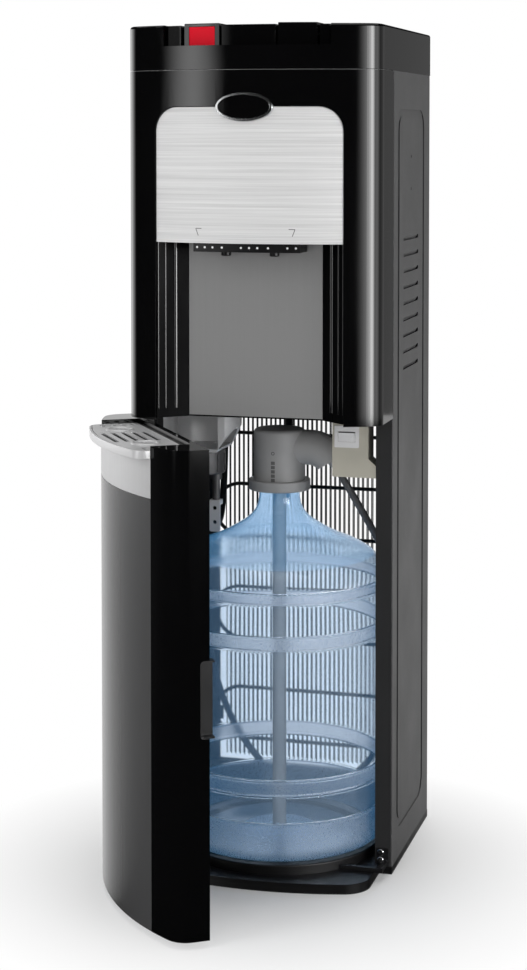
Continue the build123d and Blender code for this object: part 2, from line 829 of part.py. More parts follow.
def make_tank_shelf():
    # The shelf stands clear of the louvre blades and reaches the side panels by four tabs.
    inner = half_width - sheet - 5
    back = side_depth - sheet - part_gap
    plate = block(-inner, inner, 6, back, tank_shelf_height, shelf_top)
    for x in (-inner, inner - rail_sheet):
        plate += block(x, x + rail_sheet, 6, back, tank_shelf_height - shelf_flange, shelf_top)
    reach = half_width - sheet - touch_gap
    for y in (tank_tab_front, tank_tab_back):
        plate += block(-reach, reach, y - 6, y + 6, tank_shelf_height, shelf_top)
        for x in (-reach, reach - rail_sheet):
            plate += block(x, x + rail_sheet, y - 6, y + 6, tank_shelf_height - 10, shelf_top)
    plate -= post(hot_tank_x, hot_tank_y, 0, cabinet_height, 12)
    return plate - post(shelf_pipe_hole_x, side_depth - 27, 0, cabinet_height, 14)


def make_rear_cover():
    half = half_width - 3
    y0 = rear_face
    cover = block(-half, half, y0, y0 + sheet, rear_cover_bottom, cover_seam - 1.0)
    for row in range(vent_count):
        height = vent_bottom + row * vent_pitch
        slot = Pos(0, height) * SlotOverall(vent_length, vent_height)
        cover -= upright(slot, y0 - 1, y0 + 2)
    cover -= rod_y(gland_x, y0 - 1, y0 + 2, gland_z, 7.0)
    for x in rear_switch_x:
        half_w = rear_rocker_width / 2 + 2.0
        half_h = rear_rocker_height / 2 + 2.0
        cover -= block(x - half_w, x + half_w, y0 - 1, y0 + 2, rear_switch_z - half_h, rear_switch_z + half_h)
    return cover


# ---- tanks ----
def make_cold_tank():
    low = cold_tank_floor
    body = post(cold_tank_x, cold_tank_y, low, low + cold_tank_height, cold_tank_radius)
    body = fillet(body.edges().sort_by(Axis.Z)[0], 10)
    inner = post(cold_tank_x, cold_tank_y, low + tank_wall, low + cold_tank_height + 1,
                 cold_tank_radius - tank_wall)
    inner = fillet(inner.edges().sort_by(Axis.Z)[0], 9)
    return body - inner


def make_cold_lid():
    low = cold_tank_floor + cold_tank_height + 0.2
    lid = post(cold_tank_x, cold_tank_y, low, low + 5, cold_tank_radius + 3)
    lid += post(cold_tank_x, cold_tank_y, low - 6, low, cold_tank_radius - tank_wall - 0.5)
    return lid - post(cold_tank_x, cold_tank_y, low - 7, low + 6, 7)


def make_insulation():
    low = shelf_top
    high = cold_tank_floor + cold_tank_height - 2
    body = post(cold_tank_x, cold_tank_y, low, high, insulation_radius)
    room_radius = cold_tank_radius + 2 * coil_tube_radius + 0.6
    room = post(cold_tank_x, cold_tank_y, low + insulation_base, high + 1, room_radius)
    return body - room


def make_evaporator():
    mean = cold_tank_radius + coil_tube_radius + 0.1
    path = Helix(coil_pitch, coil_pitch * coil_turns, mean)
    coil = sweep(Plane(origin=path @ 0, z_dir=path % 0) * Circle(coil_tube_radius), path=path)
    print("evaporator turns", coil_turns, "least gap", round(coil_pitch - 2 * coil_tube_radius, 2))
    return Pos(cold_tank_x, cold_tank_y, cold_tank_floor + coil_start) * coil


def make_hot_tank():
    low = hot_tank_floor
    body = post(hot_tank_x, hot_tank_y, low, low + hot_tank_height, hot_tank_radius)
    body = fillet(body.edges().filter_by(GeomType.CIRCLE), hot_tank_corner)
    wall = tank_wall
    room = post(hot_tank_x, hot_tank_y, low + wall, low + hot_tank_height - wall, hot_tank_radius - wall)
    body -= fillet(room.edges().filter_by(GeomType.CIRCLE), hot_tank_corner - wall)
    body += post(hot_tank_x, hot_tank_y, low + hot_tank_height - 1, low + hot_tank_height + 12, 7)
    body += post(hot_tank_x, hot_tank_y, tank_shelf_height - 16, low + 1, 8)
    for turn in range(3):
        leg = block(-6, 6, hot_tank_radius - 14, hot_tank_radius - 11, shelf_top, low + 8)
        body += Pos(hot_tank_x, hot_tank_y, 0) * Rot(0, 0, 120 * turn) * leg
    return body


def make_heater_band():
    low = hot_tank_floor + heater_band_start
    high = low + heater_band_height
    outer = post(hot_tank_x, hot_tank_y, low, high, hot_tank_radius + heater_band_wall)
    band = outer - post(hot_tank_x, hot_tank_y, low - 1, high + 1, hot_tank_radius + 0.02)
    clamp_y = hot_tank_y - hot_tank_radius - heater_band_wall
    margin = 0.2 * heater_band_height
    return band + block(hot_tank_x - 9, hot_tank_x + 9, clamp_y - 8, clamp_y + 1.5, low + margin, high - margin)


def make_thermostats():
    height = hot_tank_floor + thermostat_place
    discs = []
    for turn in (-28, 28):
        disc = rod_y(0, hot_tank_radius + 0.02, hot_tank_radius + thermostat_height, height, thermostat_radius)
        disc -= post(0, 0, 0, cabinet_height, hot_tank_radius + 0.02)
        discs.append(Pos(hot_tank_x, hot_tank_y, 0) * Rot(0, 0, 180 + turn) * disc)
    return discs


# ---- refrigeration ----
def make_compressor():
    low = compressor_low
    high = low + compressor_height
    x = compressor_x
    y = compressor_y
    body = post(x, y, low, high, compressor_radius)
    body = fillet(body.edges().filter_by(GeomType.CIRCLE), 26)
    body -= post(x, y, low + 25, high - 25, compressor_radius - 14)
    # The weld between the two halves of the shell stands out as a bead.
    weld = low + 0.42 * compressor_height
    bead = post(x, y, weld - 2, weld + 2, compressor_radius + 2.5)
    body += bead - post(x, y, low, high, compressor_radius - 10)
    plate = Pos(x, y) * RectangleRounded(2 * compressor_bolt_x + 24, 2 * compressor_bolt_y + 24, 10)
    body += prism(plate, low, low + compressor_plate)
    for bolt_x, bolt_y in compressor_bolts():
        body -= post(bolt_x, bolt_y, 0, low + 10, grommet_neck + touch_gap)
    box = block(x + 40, x + 84, y - 24, y + 24, low + 0.3 * compressor_height, low + 0.64 * compressor_height)
    return body + fillet(box.edges().filter_by(Axis.X), 4)


def compressor_bolts():
    places = []
    for side_x in (-1, 1):
        for side_y in (-1, 1):
            places.append((compressor_x + side_x * compressor_bolt_x, compressor_y + side_y * compressor_bolt_y))
    return places


def make_grommets():
    parts = []
    low = ceiling_height
    high = compressor_low
    for x, y in compressor_bolts():
        shape = post(x, y, low, high, grommet_radius) + post(x, y, high, high + compressor_plate, grommet_neck)
        shape += post(x, y, high + compressor_plate, high + compressor_plate + grommet_cap, 7.5)
        parts.append(shape - post(x, y, low - 1, high + 10, 3.0))
    return parts


def make_compressor_bolts():
    parts = []
    low = ceiling_height
    head = compressor_low + compressor_plate + grommet_cap
    for x, y in compressor_bolts():
        shape = post(x, y, low, head, 2.9)
        parts.append(shape + prism(Pos(x, y) * RegularPolygon(6.5, 6), head, head + 4.5))
    return parts


def make_condenser_tube():
    # One serpentine in the rear plane; the last run turns up beside the wires to the compressor.
    points = []
    bend = condenser_run_pitch / 2
    outer = condenser_half_width + bend
    for run in range(condenser_runs):
        height = condenser_lowest + run * condenser_run_pitch
        side = 1 if run % 2 == 0 else -1
        points.append((side * outer, condenser_y, height))
        points.append((-side * outer, condenser_y, height))
    points[0] = (condenser_half_width, condenser_y, condenser_lowest)
    last = points[-1]
    points[-1] = (condenser_half_width if last[0] > 0 else -condenser_half_width, condenser_y, last[2])
    path = FilletPolyline(*points, radius=bend - 0.01)
    tube_solid = sweep(Plane(origin=path @ 0, z_dir=path % 0) * Circle(condenser_tube_radius), path=path)
    print("condenser tube length", round(path.length))
    return tube_solid


def make_condenser_wires():
    wires = []
    offset = condenser_tube_radius + wire_radius
    for layer in (-1, 1):
        shift = layer * wire_pitch / 4
        for index in range(-wires_each_side, wires_each_side + 1):
            x = index * wire_pitch + shift
            wires.append(post(x, condenser_y + layer * offset, wire_bottom, wire_top, wire_radius))
    return wires


def make_condenser_clips():
    clips = []
    y0 = rear_face
    reach = condenser_half_width + condenser_run_pitch / 2
    for run in (0, 3, 6):
        height = condenser_lowest + (run + 0.5) * condenser_run_pitch
        for side in (-1, 1):
            x0 = side * (reach - 12)
            x1 = side * (reach + 4)
            clip = block(min(x0, x1), max(x0, x1), y0, y0 + 1.2, height - 9, height + 9)
            hook = side * (reach - condenser_tube_radius)
            clip += block(hook - 3, hook + 3, y0, condenser_y + condenser_tube_radius + 2, height - 6, height + 6)
            bend = Rot(90, 0, 0) * Torus(condenser_run_pitch / 2, condenser_tube_radius + 0.05)
            clip -= Pos(side * condenser_half_width, condenser_y, height) * bend
            clips.append(clip)
    return clips


def make_drier():
    x = drier_x
    y = drier_y
    low = ceiling_height + 26
    high = low + drier_height
    body = post(x, y, low, high, drier_radius)
    body = fillet(body.edges().filter_by(GeomType.CIRCLE), 6)
    body += post(x, y, low - 14, low + 2, 3.0) + post(x, y, high - 2, high + 12, 1.6)
    clip = block(x - drier_radius - 1, x + drier_radius + 1, y + 2, side_depth - sheet - 0.4, low + 28, low + 38)
    return body + clip


def make_refrigerant_lines():
    near = compressor_radius + 0.4
    away = near + 16
    height = compressor_low + 0.585 * compressor_height
    route = [(compressor_x - 0.6 * near, compressor_y - 0.8 * near, height),
             (compressor_x - 0.6 * away, compressor_y - 0.8 * away, height + 1),
             (-36, 46, height + 28), (-40, 40, tank_shelf_height - 38), (-40, 60, tank_shelf_height - 10),
             (-30, 120, tank_shelf_height - 6), (-24, 170, tank_shelf_height - 8),
             (-24, side_depth - 19, tank_shelf_height - 28), (-24, side_depth - 15, tank_shelf_height - 68)]
    return tube("discharge line", route, 2.5)


# ---- electrics ----
def make_control_box():
    x1 = half_width - sheet - 6
    shell = block(x1 - 34, x1, 14, 66, ceiling_height, ceiling_height + 110)
    shell = fillet(shell.edges().filter_by(Axis.Z), 3)
    return shell


def make_gland():
    y0 = rear_face
    body = rod_y(gland_x, y0 - 8, y0 + sheet, gland_z, 6.98)
    body += rod_y(gland_x, y0 + sheet, y0 + sheet + 4, gland_z, 9.5)
    body += rod_y(gland_x, y0 - 11, y0 - 0.1, gland_z, 8.6) - rod_y(gland_x, y0 - 12, y0 + 1, gland_z, 6.9)
    return body - rod_y(gland_x, y0 - 13, y0 + 8, gland_z, gland_bore)


def make_rear_switch_frames():
    frames = []
    y0 = rear_face + sheet
    for x in rear_switch_x:
        w = rear_rocker_width / 2
        h = rear_rocker_height / 2
        outer = block(x - w - 3.5, x + w + 3.5, y0, y0 + 2.5, rear_switch_z - h - 3.5, rear_switch_z + h + 3.5)
        outer += block(x - w - 1.9, x + w + 1.9, y0 - 17, y0, rear_switch_z - h - 1.9, rear_switch_z + h + 1.9)
        outer -= block(x - w - part_gap, x + w + part_gap, y0 - 10, y0 + 5, rear_switch_z - h - part_gap,
                       rear_switch_z + h + part_gap)
        pivot = rod_x(x - w - 1.5, x + w + 1.5, y0 - 3, rear_switch_z, 1.4)
        frames.append(outer + pivot)
    return frames


def rocker_body(width, height, depth, proud, tilt):
    # A rocker about its own X axis at the origin, its outer side towards +Y, with its lower end pressed in.
    half = height / 2
    side = Polygon((-depth, -half + 2.2), (proud, -half), (proud - 1.0, 0), (proud, half), (-depth, half - 2.2),
                   align=None)
    return Rot(-tilt, 0, 0) * sideways(side, -width / 2, width / 2)


def make_rear_rocker(x):
    y0 = rear_face + sheet
    body = rocker_body(rear_rocker_width, rear_rocker_height - 1.2, 3.0, 6.0, rocker_tilt)
    body -= rod_x(-20, 20, 0, 0, 1.4 + pin_play)
    return Pos(x, y0 - 3, rear_switch_z) * body


def make_switch_box():
    # The box is narrower above, where its right side steps in.
    narrow = box_right - box_step
    side = Polygon((box_left, box_bottom), (box_right, box_bottom), (box_right, box_slope_low),
                   (narrow, box_slope_high), (narrow, hang_top), (box_left, hang_top), align=None)
    body = upright(side, box_front, box_back)
    body = fillet(body.edges().filter_by(Axis.Y), 2.0)
    body -= upright(offset(side, -box_wall), box_front + box_wall, box_back + 1)
    half_w = rocker_width / 2 + part_gap
    half_h = rocker_height / 2 + part_gap
    hole = block(rocker_x - half_w, rocker_x + half_w, box_front - 5, box_front + 5, rocker_z - half_h,
                 rocker_z + half_h)
    frame = block(rocker_x - frame_half_width, rocker_x + frame_half_width, box_front - frame_stand, box_front - 0.02,
                  rocker_z - frame_half_height, rocker_z + frame_half_height)
    frame = fillet(frame.edges().filter_by(Axis.Y), 1.5)
    pivot_y = box_front + rocker_pivot_depth
    pivot = rod_x(rocker_x - half_w - 0.5, rocker_x + half_w + 0.5, pivot_y, rocker_z, rocker_pivot_radius)
    for x in (rocker_x - half_w - 3, rocker_x + half_w):
        pivot += block(x, x + 3, box_front, box_front + 5, rocker_z - 3, rocker_z + 3)
    return body - hole + pivot, frame - hole


def make_rocker():
    body = rocker_body(rocker_width, rocker_height - 0.8, 1.6, 4.6, rocker_tilt)
    body -= rod_x(-rocker_width, rocker_width, 0, 0, rocker_pivot_radius + pin_play)
    return Pos(rocker_x, box_front + rocker_pivot_depth, rocker_z) * Rot(0, 0, 180) * body


# ---- pump group ----
def make_pump_housing():
    bell = Pos(pump_x + bell_offset, pump_y) * Circle(bell_radius)
    wall = Pos(pump_x - 22, pump_y - 20) * RectangleRounded(60, 72, 8)
    outline = (bell + wall) & Rectangle(2 * (half_width - sheet - 1.5), 2 * side_depth)
    body = prism(outline, pump_top + 0.1, hang_top)
    # The lower right edge slopes in towards the motor, and a scoop leaves room for the door hinge side.
    cut = Polygon((pump_x + 26, pump_top - 1), (pump_x + 60, pump_top - 1), (pump_x + 60, pump_top + 34),
                  (pump_x + 46, pump_top + 30), align=None)
    body -= upright(cut, -60, 140)
    body -= post(pump_x - 36, pump_y - 46, 0, cabinet_height, 28)
    body -= block(-half_width, half_width, -60, 4, 0, cabinet_height)
    # The bell is open at its top, under the compartment ceiling.
    return body - post(pump_x + bell_offset, pump_y, pump_top + 4, hang_top + 1, bell_radius - 6)


def make_pump():
    body = post(pump_x, pump_y, pump_bottom, pump_top, pump_radius)
    body = fillet(body.edges().sort_by(Axis.Z)[0], 2.5)
    for turn in range(6):
        rib = Box(3, 2 * pump_radius + 2, pump_top - pump_bottom - 8)
        body += Pos(pump_x, pump_y, (pump_top + pump_bottom) / 2) * Rot(0, 0, 30 * turn) * rib
    # The inlet barb is to the left and the outlet elbow to the right, both below the motor.
    low = pump_bottom
    body += post(pump_x + riser_offset, pump_y, low - 34, low + 4, riser_radius)
    body += post(pump_x + riser_offset, pump_y, low - 8, low + 4, riser_radius + 2.5)
    return body + post(pump_x + inlet_offset, pump_y, low - 16, low + 4, riser_radius - 1.0)


def make_pump_bracket():
    x = pump_x + riser_offset
    plate = block(x - 7, x + 7, pump_y - 7, pump_y - 4.5, pump_bottom - 74, pump_bottom - 34.05)
    plate = fillet(plate.edges().filter_by(Axis.Y), 3.0)
    plate += block(x - 7, x + 7, pump_y - 6, pump_y + 6, pump_bottom - 40, pump_bottom - 34.05)
    for z in (-44, -62):
        plate -= rod_y(x, pump_y - 20, pump_y + 3, pump_bottom + z, 2.6)
    return plate


def make_riser():
    x = pump_x + riser_offset
    low = pump_bottom
    points = [(x, pump_y, low - 40.5), (x, pump_y, low - 58), (x - 4, pump_y + 20, low - 69),
              (x - 8, pump_y + 48, low - 64), (x - 12, pump_y + 72, low - 40), (x - 14, pump_y + 84, low - 6),
              (x - 14, pump_y + 88, low + 36), (x - 14, pump_y + 89, hang_top - 0.5)]
    return tube("pump outlet pipe", points, riser_radius - 0.6)


def make_drain_pipe():
    pipe = post(drain_x, drain_y, drain_bottom, hang_top, drain_radius)
    boot = Pos(drain_x, drain_y, hang_top - boot_height / 2) * Cone(boot_low_radius, boot_top_radius, boot_height)
    return pipe, boot - post(drain_x, drain_y, 0, cabinet_height, drain_radius + 0.02)


# ---- bottle and probe ----
def bottle_section(inset):
    radius = bottle_radius - inset
    floor = bottle_floor + inset
    mouth = bottle_mouth_height
    lines = Line((0, floor + punt_height), (40, floor + punt_height * 0.8))
    lines += Spline((40, floor + punt_height * 0.8), (78, floor + punt_height * 0.2), (96, floor),
                    tangents=((1, -0.05), (1, 0)))
    lines += Line((96, floor), (radius - bottle_base_corner + inset, floor))
    corner = bottle_base_corner - inset
    lines += RadiusArc((radius - corner, floor), (radius, floor + corner), -corner)
    lines += Line((radius, floor + corner), (radius, shoulder_foot))
    upper = [(r - inset, z) for r, z in shoulder_profile]
    neck = (bottle_neck_radius - inset, mouth - bottle_neck_height)
    lines += Spline(*upper, neck, tangents=((0, 1), (0, 1)))
    lines += Line(neck, (neck[0], mouth))
    lines += Line((neck[0], mouth), (0, mouth))
    lines += Line((0, mouth), (0, floor + punt_height))
    return make_face(lines)


def make_bottle():
    outer = revolve(Plane.XZ * bottle_section(0), Axis.Z)
    for low, high in groove_bands:
        for z in (low, high):
            outer -= Pos(0, 0, z) * Torus(bottle_radius + 1.0, groove_depth)
    inner = revolve(Plane.XZ * bottle_section(bottle_wall), Axis.Z)
    for low, high in groove_bands:
        for z in (low, high):
            inner -= Pos(0, 0, z) * Torus(bottle_radius + 1.0, groove_depth + bottle_wall)
    bottle = outer - inner
    bottle -= post(0, 0, bottle_mouth_height - 3, bottle_mouth_height + 3, bottle_neck_radius - bottle_wall)
    return Pos(0, bottle_y, 0) * bottle


def elbow_bend():
    # The middle line of the elbow's bend, from the end of its level arm.
    turn = radians(elbow_turn)
    across = elbow_start + elbow_bend_radius * sin(turn)
    height = elbow_height - elbow_bend_radius * (1 - cos(turn))
    arc = RadiusArc((elbow_start, elbow_height), (across, height), elbow_bend_radius)
    return Pos(0, bottle_y, 0) * Rot(90, 0, 0) * arc


def make_cap():
    body = post(0, bottle_y, cap_bottom, cap_top, cap_radius)
    body = fillet(body.edges().sort_by(Axis.Z)[-1], 5.0)
    bend = elbow_bend()
    body += rod_x(0, elbow_start, bottle_y, elbow_height, elbow_radius)
    body += sweep(Plane(origin=bend @ 0, z_dir=bend % 0) * Circle(elbow_radius), path=bend)
    # A shallow mouth is sunk in the end of the elbow, with a spigot for the hose in its middle.
    end = bend @ 1
    way = bend % 1
    body -= extrude(Plane(origin=end - way * 7, z_dir=way) * Circle(elbow_radius - 3), 12)
    body += extrude(Plane(origin=end - way * 9, z_dir=way) * Circle(hose_radius + 2), 16)
    body -= post(0, bottle_y, cap_bottom - 1, cap_bottom + 10, cap_radius - 4)
    body += post(0, bottle_y, cap_bottom + 8, cap_bottom + 10, cap_radius - 2)
    body -= post(0, bottle_y, cap_bottom - 2, dip_tube_top, dip_tube_radius)
    front = bottle_y - cap_radius
    return body - block(-8, -4, front - 2, front + 0.9, cap_bottom + 3, cap_bottom + 31)


def make_collar():
    ring = post(0, bottle_y, collar_bottom, cap_bottom - touch_gap, collar_radius)
    ring = fillet(ring.edges().filter_by(GeomType.CIRCLE), 1.5)
    ring -= post(0, bottle_y, collar_bottom - 1, cap_bottom + 1, bottle_neck_radius + touch_gap)
    return ring


def make_dip_tube():
    body = post(0, bottle_y, dip_tube_bottom, dip_tube_top - 0.1, dip_tube_radius - 0.02)
    body -= post(0, bottle_y, dip_tube_bottom - 1, dip_tube_top - 2, dip_tube_radius - 2.2)
    for turn in (0, 90):
        notch = Pos(0, bottle_y, dip_tube_bottom) * Rot(0, 0, turn) * Box(4, 2 * dip_tube_radius + 2, 12)
        body -= notch
    return body


def hose_points():
    # From the elbow down beside the bottle, under its rear edge and up on the left to the pump's inlet.
    bend = elbow_bend()
    way = bend % 1
    start = bend @ 1 + way * hose_stand_off
    turn_in = start + way * 40
    side = half_width - 16
    back = side_depth - 21
    inlet_x = pump_x + inlet_offset
    return [tuple(start), tuple(turn_in),
            (side - 24, 84, shoulder_foot + 48), (side - 8, 124, shoulder_foot - 6), (side - 1, 166, 290),
            (side, 196, 228), (side - 8, back, 168), (side - 30, back, 112), (80, back, 68), (40, back - 1, 37),
            (-8, back - 2, 32), (-56, back - 2, 52), (-98, back - 1, 98), (16 - side, back - 2, 156),
            (4 - side, back - 12, 220), (1 - side, 172, 284), (1 - side, 140, shoulder_foot - 16),
            (4 - side, 104, shoulder_foot + 32), (10 - side, 68, shoulder_foot + 59),
            (inlet_x - 6, pump_y + 8, pump_bottom - 58), (inlet_x, pump_y, pump_bottom - 36),
            (inlet_x, pump_y, pump_bottom - 16.05)]


# ---- door, drawn closed ----
def door_slab(inset, back, z0, z1):
    return prism(front_shape(inset, back), z0, z1)


def liner_arc(depth):
    # Plan region in front of the liner's concave face.
    edge = half_width - shell_wall
    rise = depth - liner_edge
    radius = (edge ** 2 + rise ** 2) / (2 * rise)
    return Pos(0, -depth + radius) * Circle(radius)


def make_door_frame():
    top = door_top
    frame = door_slab(0, door_back, door_bottom, top)
    frame -= prism(front_shape(shell_wall, door_back + 1), door_bottom - 1, liner_top)
    # The flush front skin and band lie in a shallow recess.
    recess = front_skin(-1, skin_thickness + 1 + touch_gap, slice_back, door_bottom - 1, tray_channel_bottom)
    half = skin_half_width + part_gap
    frame -= recess & block(-half, half, slice_front, slice_back, 0, top)
    # Channel in the top for the drip tray, open to the front.
    channel = tray_half_width + slide_gap
    frame -= block(-channel, channel, slice_front, -tray_back + slide_gap, tray_channel_bottom, top + 1)
    # Floor and ledges that the liner is fixed to.
    floor = prism(front_shape(shell_wall - 0.5, door_back), door_floor - 3, door_floor)
    frame += floor - prism(liner_arc(liner_depth + liner_wall), door_floor - 4, door_floor + 1)
    # Finger notch for the grip in the free edge.
    middle = (handle_bottom + handle_top) / 2
    grip = Pos(door_back, middle) * RectangleRounded(2 * handle_width, handle_top - handle_bottom, 5)
    frame -= sideways(grip, half_width - 12, half_width + 1)
    return frame + make_hinge_lugs() - hinge_bores()


def make_hinge_lugs():
    wall = half_width - shell_wall
    low = low_lug_bottom
    high = low + low_lug_height
    low_lug = post(hinge_x, hinge_y, low, high, hinge_lug_radius)
    low_lug += block(-wall - 0.5, hinge_x + hinge_lug_radius, -56, hinge_y, low, high)
    high = door_top - 0.5
    low = high - high_lug_height
    high_lug = post(hinge_x, hinge_y, low, high, hinge_lug_radius)
    high_lug += block(hinge_x - hinge_lug_radius, hinge_x + hinge_lug_radius, door_back - 4, hinge_y, low, high)
    return low_lug + high_lug


def hinge_bores():
    return post(hinge_x, hinge_y, 10, cabinet_height, hinge_pin_radius + pin_play)


def make_door_skin(z0, z1):
    skin = front_skin(0, skin_thickness, slice_back, z0, z1)
    return skin & block(-skin_half_width, skin_half_width, slice_front, slice_back, z0, z1)


def make_door_liner():
    low = door_floor + touch_gap
    high = liner_top - touch_gap
    body = prism(liner_arc(liner_depth + liner_wall), low, high) - prism(liner_arc(liner_depth), low - 1, high + 1)
    keep = prism(front_shape(shell_wall + touch_gap, door_back), low, high)
    grip = block(half_width - 12.4, half_width, -60, 0, handle_bottom - part_gap, handle_top + part_gap)
    return (body & keep) - grip


def make_door_grip():
    height = handle_top - handle_bottom
    middle = (handle_bottom + handle_top) / 2
    outer = Pos(door_back, middle) * RectangleRounded(2 * handle_width - 0.4, height - 0.4, 4.8)
    inner = Pos(door_back, middle) * RectangleRounded(2 * handle_width - 4.4, height - 4.4, 3.0)
    body = sideways(outer, half_width - 11.8, half_width)
    body -= sideways(inner, half_width - 8.8, half_width + 1)
    return body & block(half_width - 20, half_width + 1, -60, door_back + 6, 0, cabinet_height)


def tray_outline(inset, front_extra):
    half = tray_half_width - inset
    front = -tray_front + inset
    radius = front_radius + tray_front - front_bulge
    disc = Pos(0, front + radius) * Circle(radius)
    back = -tray_back - inset
    slab = Pos(0, (front + back) / 2) * Rectangle(2 * half, back - front)
    shape = disc & slab
    return fillet(shape.vertices().sort_by(Axis.Y)[:2], front_extra)


def make_tray_rim():
    # The bright band round the front, standing ahead of the door, with a narrow floor behind it.
    outline = tray_outline(0, tray_corner_radius)
    rim = prism(outline - tray_outline(tray_rim_wall, tray_corner_radius - tray_rim_wall), tray_low, tray_top)
    floor = prism(tray_outline(tray_rim_wall - 0.5, tray_corner_radius - 2), tray_low, tray_low + tray_floor)
    door_front = front_y(0, 0)
    rim += floor & block(-half_width, half_width, -2 * front_bulge, door_front - 0.6, tray_low, tray_top)
    return rim - block(-half_width, half_width, -70, 0, 0, cabinet_height)


def make_drip_basin():
    gap = tray_rim_wall + touch_gap
    door_front = front_y(0, 0)
    basin = prism(tray_outline(gap, tray_corner_radius - tray_rim_wall), tray_low, tray_top - grille_thickness - 0.2)
    basin &= block(-half_width, half_width, door_front - part_gap, 0, 0, cabinet_height)
    basin += block(-tray_half_width, tray_half_width, -69.9, -tray_back, tray_low, tray_top)
    hollow = prism(tray_outline(gap + 2.0, tray_corner_radius - 5), tray_low + tray_floor, tray_top + 1)
    basin -= hollow & block(-half_width, half_width, door_front + tray_floor, 0, 0, cabinet_height)
    seat = tray_outline(grille_inset - part_gap, tray_corner_radius - 3.5)
    return basin - prism(seat, tray_top - grille_thickness - touch_gap, tray_top + 1)


def make_grille():
    low = tray_top - grille_thickness
    plate = prism(tray_outline(grille_inset, tray_corner_radius - 3.6), low, tray_top)
    for row in slot_rows:
        plate -= prism(Pos(0, row) * SlotOverall(slot_length, slot_width), low - 1, tray_top + 1)
        if row != slot_rows[0]:
            for x in (-short_slot_x, short_slot_x):
                plate -= prism(Pos(x, row + 4) * SlotOverall(short_slot_length, slot_width), low - 1, tray_top + 1)
    # Two rings with three spokes each mark where a cup stands.
    reach = ring_radius + ring_wire + 1
    for x in (-ring_spacing / 2, ring_spacing / 2):
        plate -= post(x, ring_y, 0, cabinet_height, ring_radius - 4)
        ring = Pos(x, ring_y, tray_top - 0.4) * Torus(ring_radius, ring_wire)
        plate += ring & block(x - reach, x + reach, ring_y - reach, ring_y + reach, low, tray_top + 4)
        for turn in (0, 60, 120):
            spoke = Rot(0, 0, turn) * Box(2 * ring_radius - 4, 2.4, grille_thickness)
            plate += Pos(x, ring_y, low + grille_thickness / 2) * spoke
    return plate


# ---- hinge and catch on the cabinet ----
def make_lower_hinge():
    low = base_rim_height + screw_stand
    plate = block(hinge_x - 5, hinge_x + 29, hinge_y - 8, hinge_y + 12, low, base_rim_height + hinge_plate)
    plate = fillet(plate.edges().filter_by(Axis.Z), 3.5)
    plate -= post(0, bottle_y, 0, 100, platform_radius + 0.5)
    return plate - post(hinge_x, hinge_y, 0, 30, hinge_pin_radius)


def make_hinge_pins():
    washer_low = base_rim_height + hinge_plate + screw_stand
    low = post(hinge_x, hinge_y, base_rim_height + screw_stand, low_lug_bottom + low_lug_height + 1, hinge_pin_radius)
    low = chamfer(low.edges().sort_by(Axis.Z)[-1], 0.8)
    low += post(hinge_x, hinge_y, washer_low, low_lug_bottom - 0.2, 5.0)
    high = post(hinge_x, hinge_y, door_top - 13, panel_bottom + shell_wall, hinge_pin_radius)
    high = chamfer(high.edges().sort_by(Axis.Z)[0], 0.8)
    return low, high


def make_upper_hinge():
    low = panel_bottom - 2.4
    plate = block(hinge_x - 7, hinge_x + 30, hinge_y - 8, hinge_y + 10, low, panel_bottom - 0.02)
    plate = fillet(plate.edges().filter_by(Axis.Z), 3.0)
    return plate - post(hinge_x, hinge_y, 0, cabinet_height, hinge_pin_radius)


def make_catch():
    flange_in = half_width - front_flange
    low = base_rim_height + 0.1
    plate = block(flange_in + 2, half_width - 4, -1.6, -0.32, low, 32)
    arm = block(98, half_width - 5, -32, -27, low, low + 5.4)
    link = block(half_width - 9, half_width - 5, -32, -0.32, low, low + 5.4)
    body = plate + arm + link
    return body - post(0, bottle_y, base_rim_height, 60, platform_radius + 0.5)


def make_screws():
    heads = [screw(half_width - 14, -sheet - 0.62, base_rim_height + rise, "front") for rise in (5.5, 15)]
    low = rear_cover_bottom + 10
    high = cover_seam - 26.5
    for x in (9 - half_width, half_width - 9):
        for height in (low, (low + high) / 2, high):
            heads.append(screw(x, rear_face + sheet + screw_stand, height, "back"))
    for reach in (12, 23):
        heads.append(screw(hinge_x + reach, hinge_y + 2, base_rim_height + hinge_plate + screw_stand, "up"))
    return heads


save("base_tray", make_base())
save("rubber_feet", *make_feet())
right_panel = make_right_panel()
save("side_panel_right", right_panel)
save("side_panel_left", mirror(right_panel, Plane.YZ))
save("inner_frame", *make_rear_rails(), make_tank_shelf())
save("front_panel", make_front_panel())
save("face_plate", make_face_plate())
badge_bezel, badge_insert = make_badge()
save("badge_bezel", badge_bezel)
save("badge_insert", badge_insert)
save("niche_liner", make_niche_liner())
save("niche_back_plate", make_niche_back_plate())
save("nozzle_housing", make_nozzle_housing())
save("status_lights", *make_leds())
save("nozzles", make_nozzle(-1), make_nozzle(1))
save("top_cover", make_top_cover())
save("button_deck", make_button_deck())
save("hot_button", make_hot_button())
save("cold_button", make_button(1))
save("hot_lock_slide", make_lock_slide())
button_middle = (button_inner + button_outer) / 2
for spring_name, spring_x in (("hot_button_spring", -button_middle), ("cold_button_spring", button_middle)):
    save(spring_name, make_spring(spring_x, spring_y, spring_foot, spring_top - touch_gap, spring_turns,
                                  spring_mean_radius, spring_wire))
save("button_switches", *make_button_switches())
save("compartment_ceiling", make_ceiling())
save("rear_cover", make_rear_cover())
save("cold_tank", make_cold_tank(), make_cold_lid())
save("tank_insulation", make_insulation())
save("evaporator_coil", make_evaporator())
save("hot_tank", make_hot_tank())
save("heater_band", make_heater_band(), *make_thermostats())
save("compressor", make_compressor())
save("compressor_grommets", *make_grommets())
save("condenser", make_condenser_tube(), *make_condenser_wires())
save("condenser_clips", *make_condenser_clips())
save("refrigerant_line", make_drier(), make_refrigerant_lines())
save("control_box", make_control_box())
save("cord_gland", make_gland())
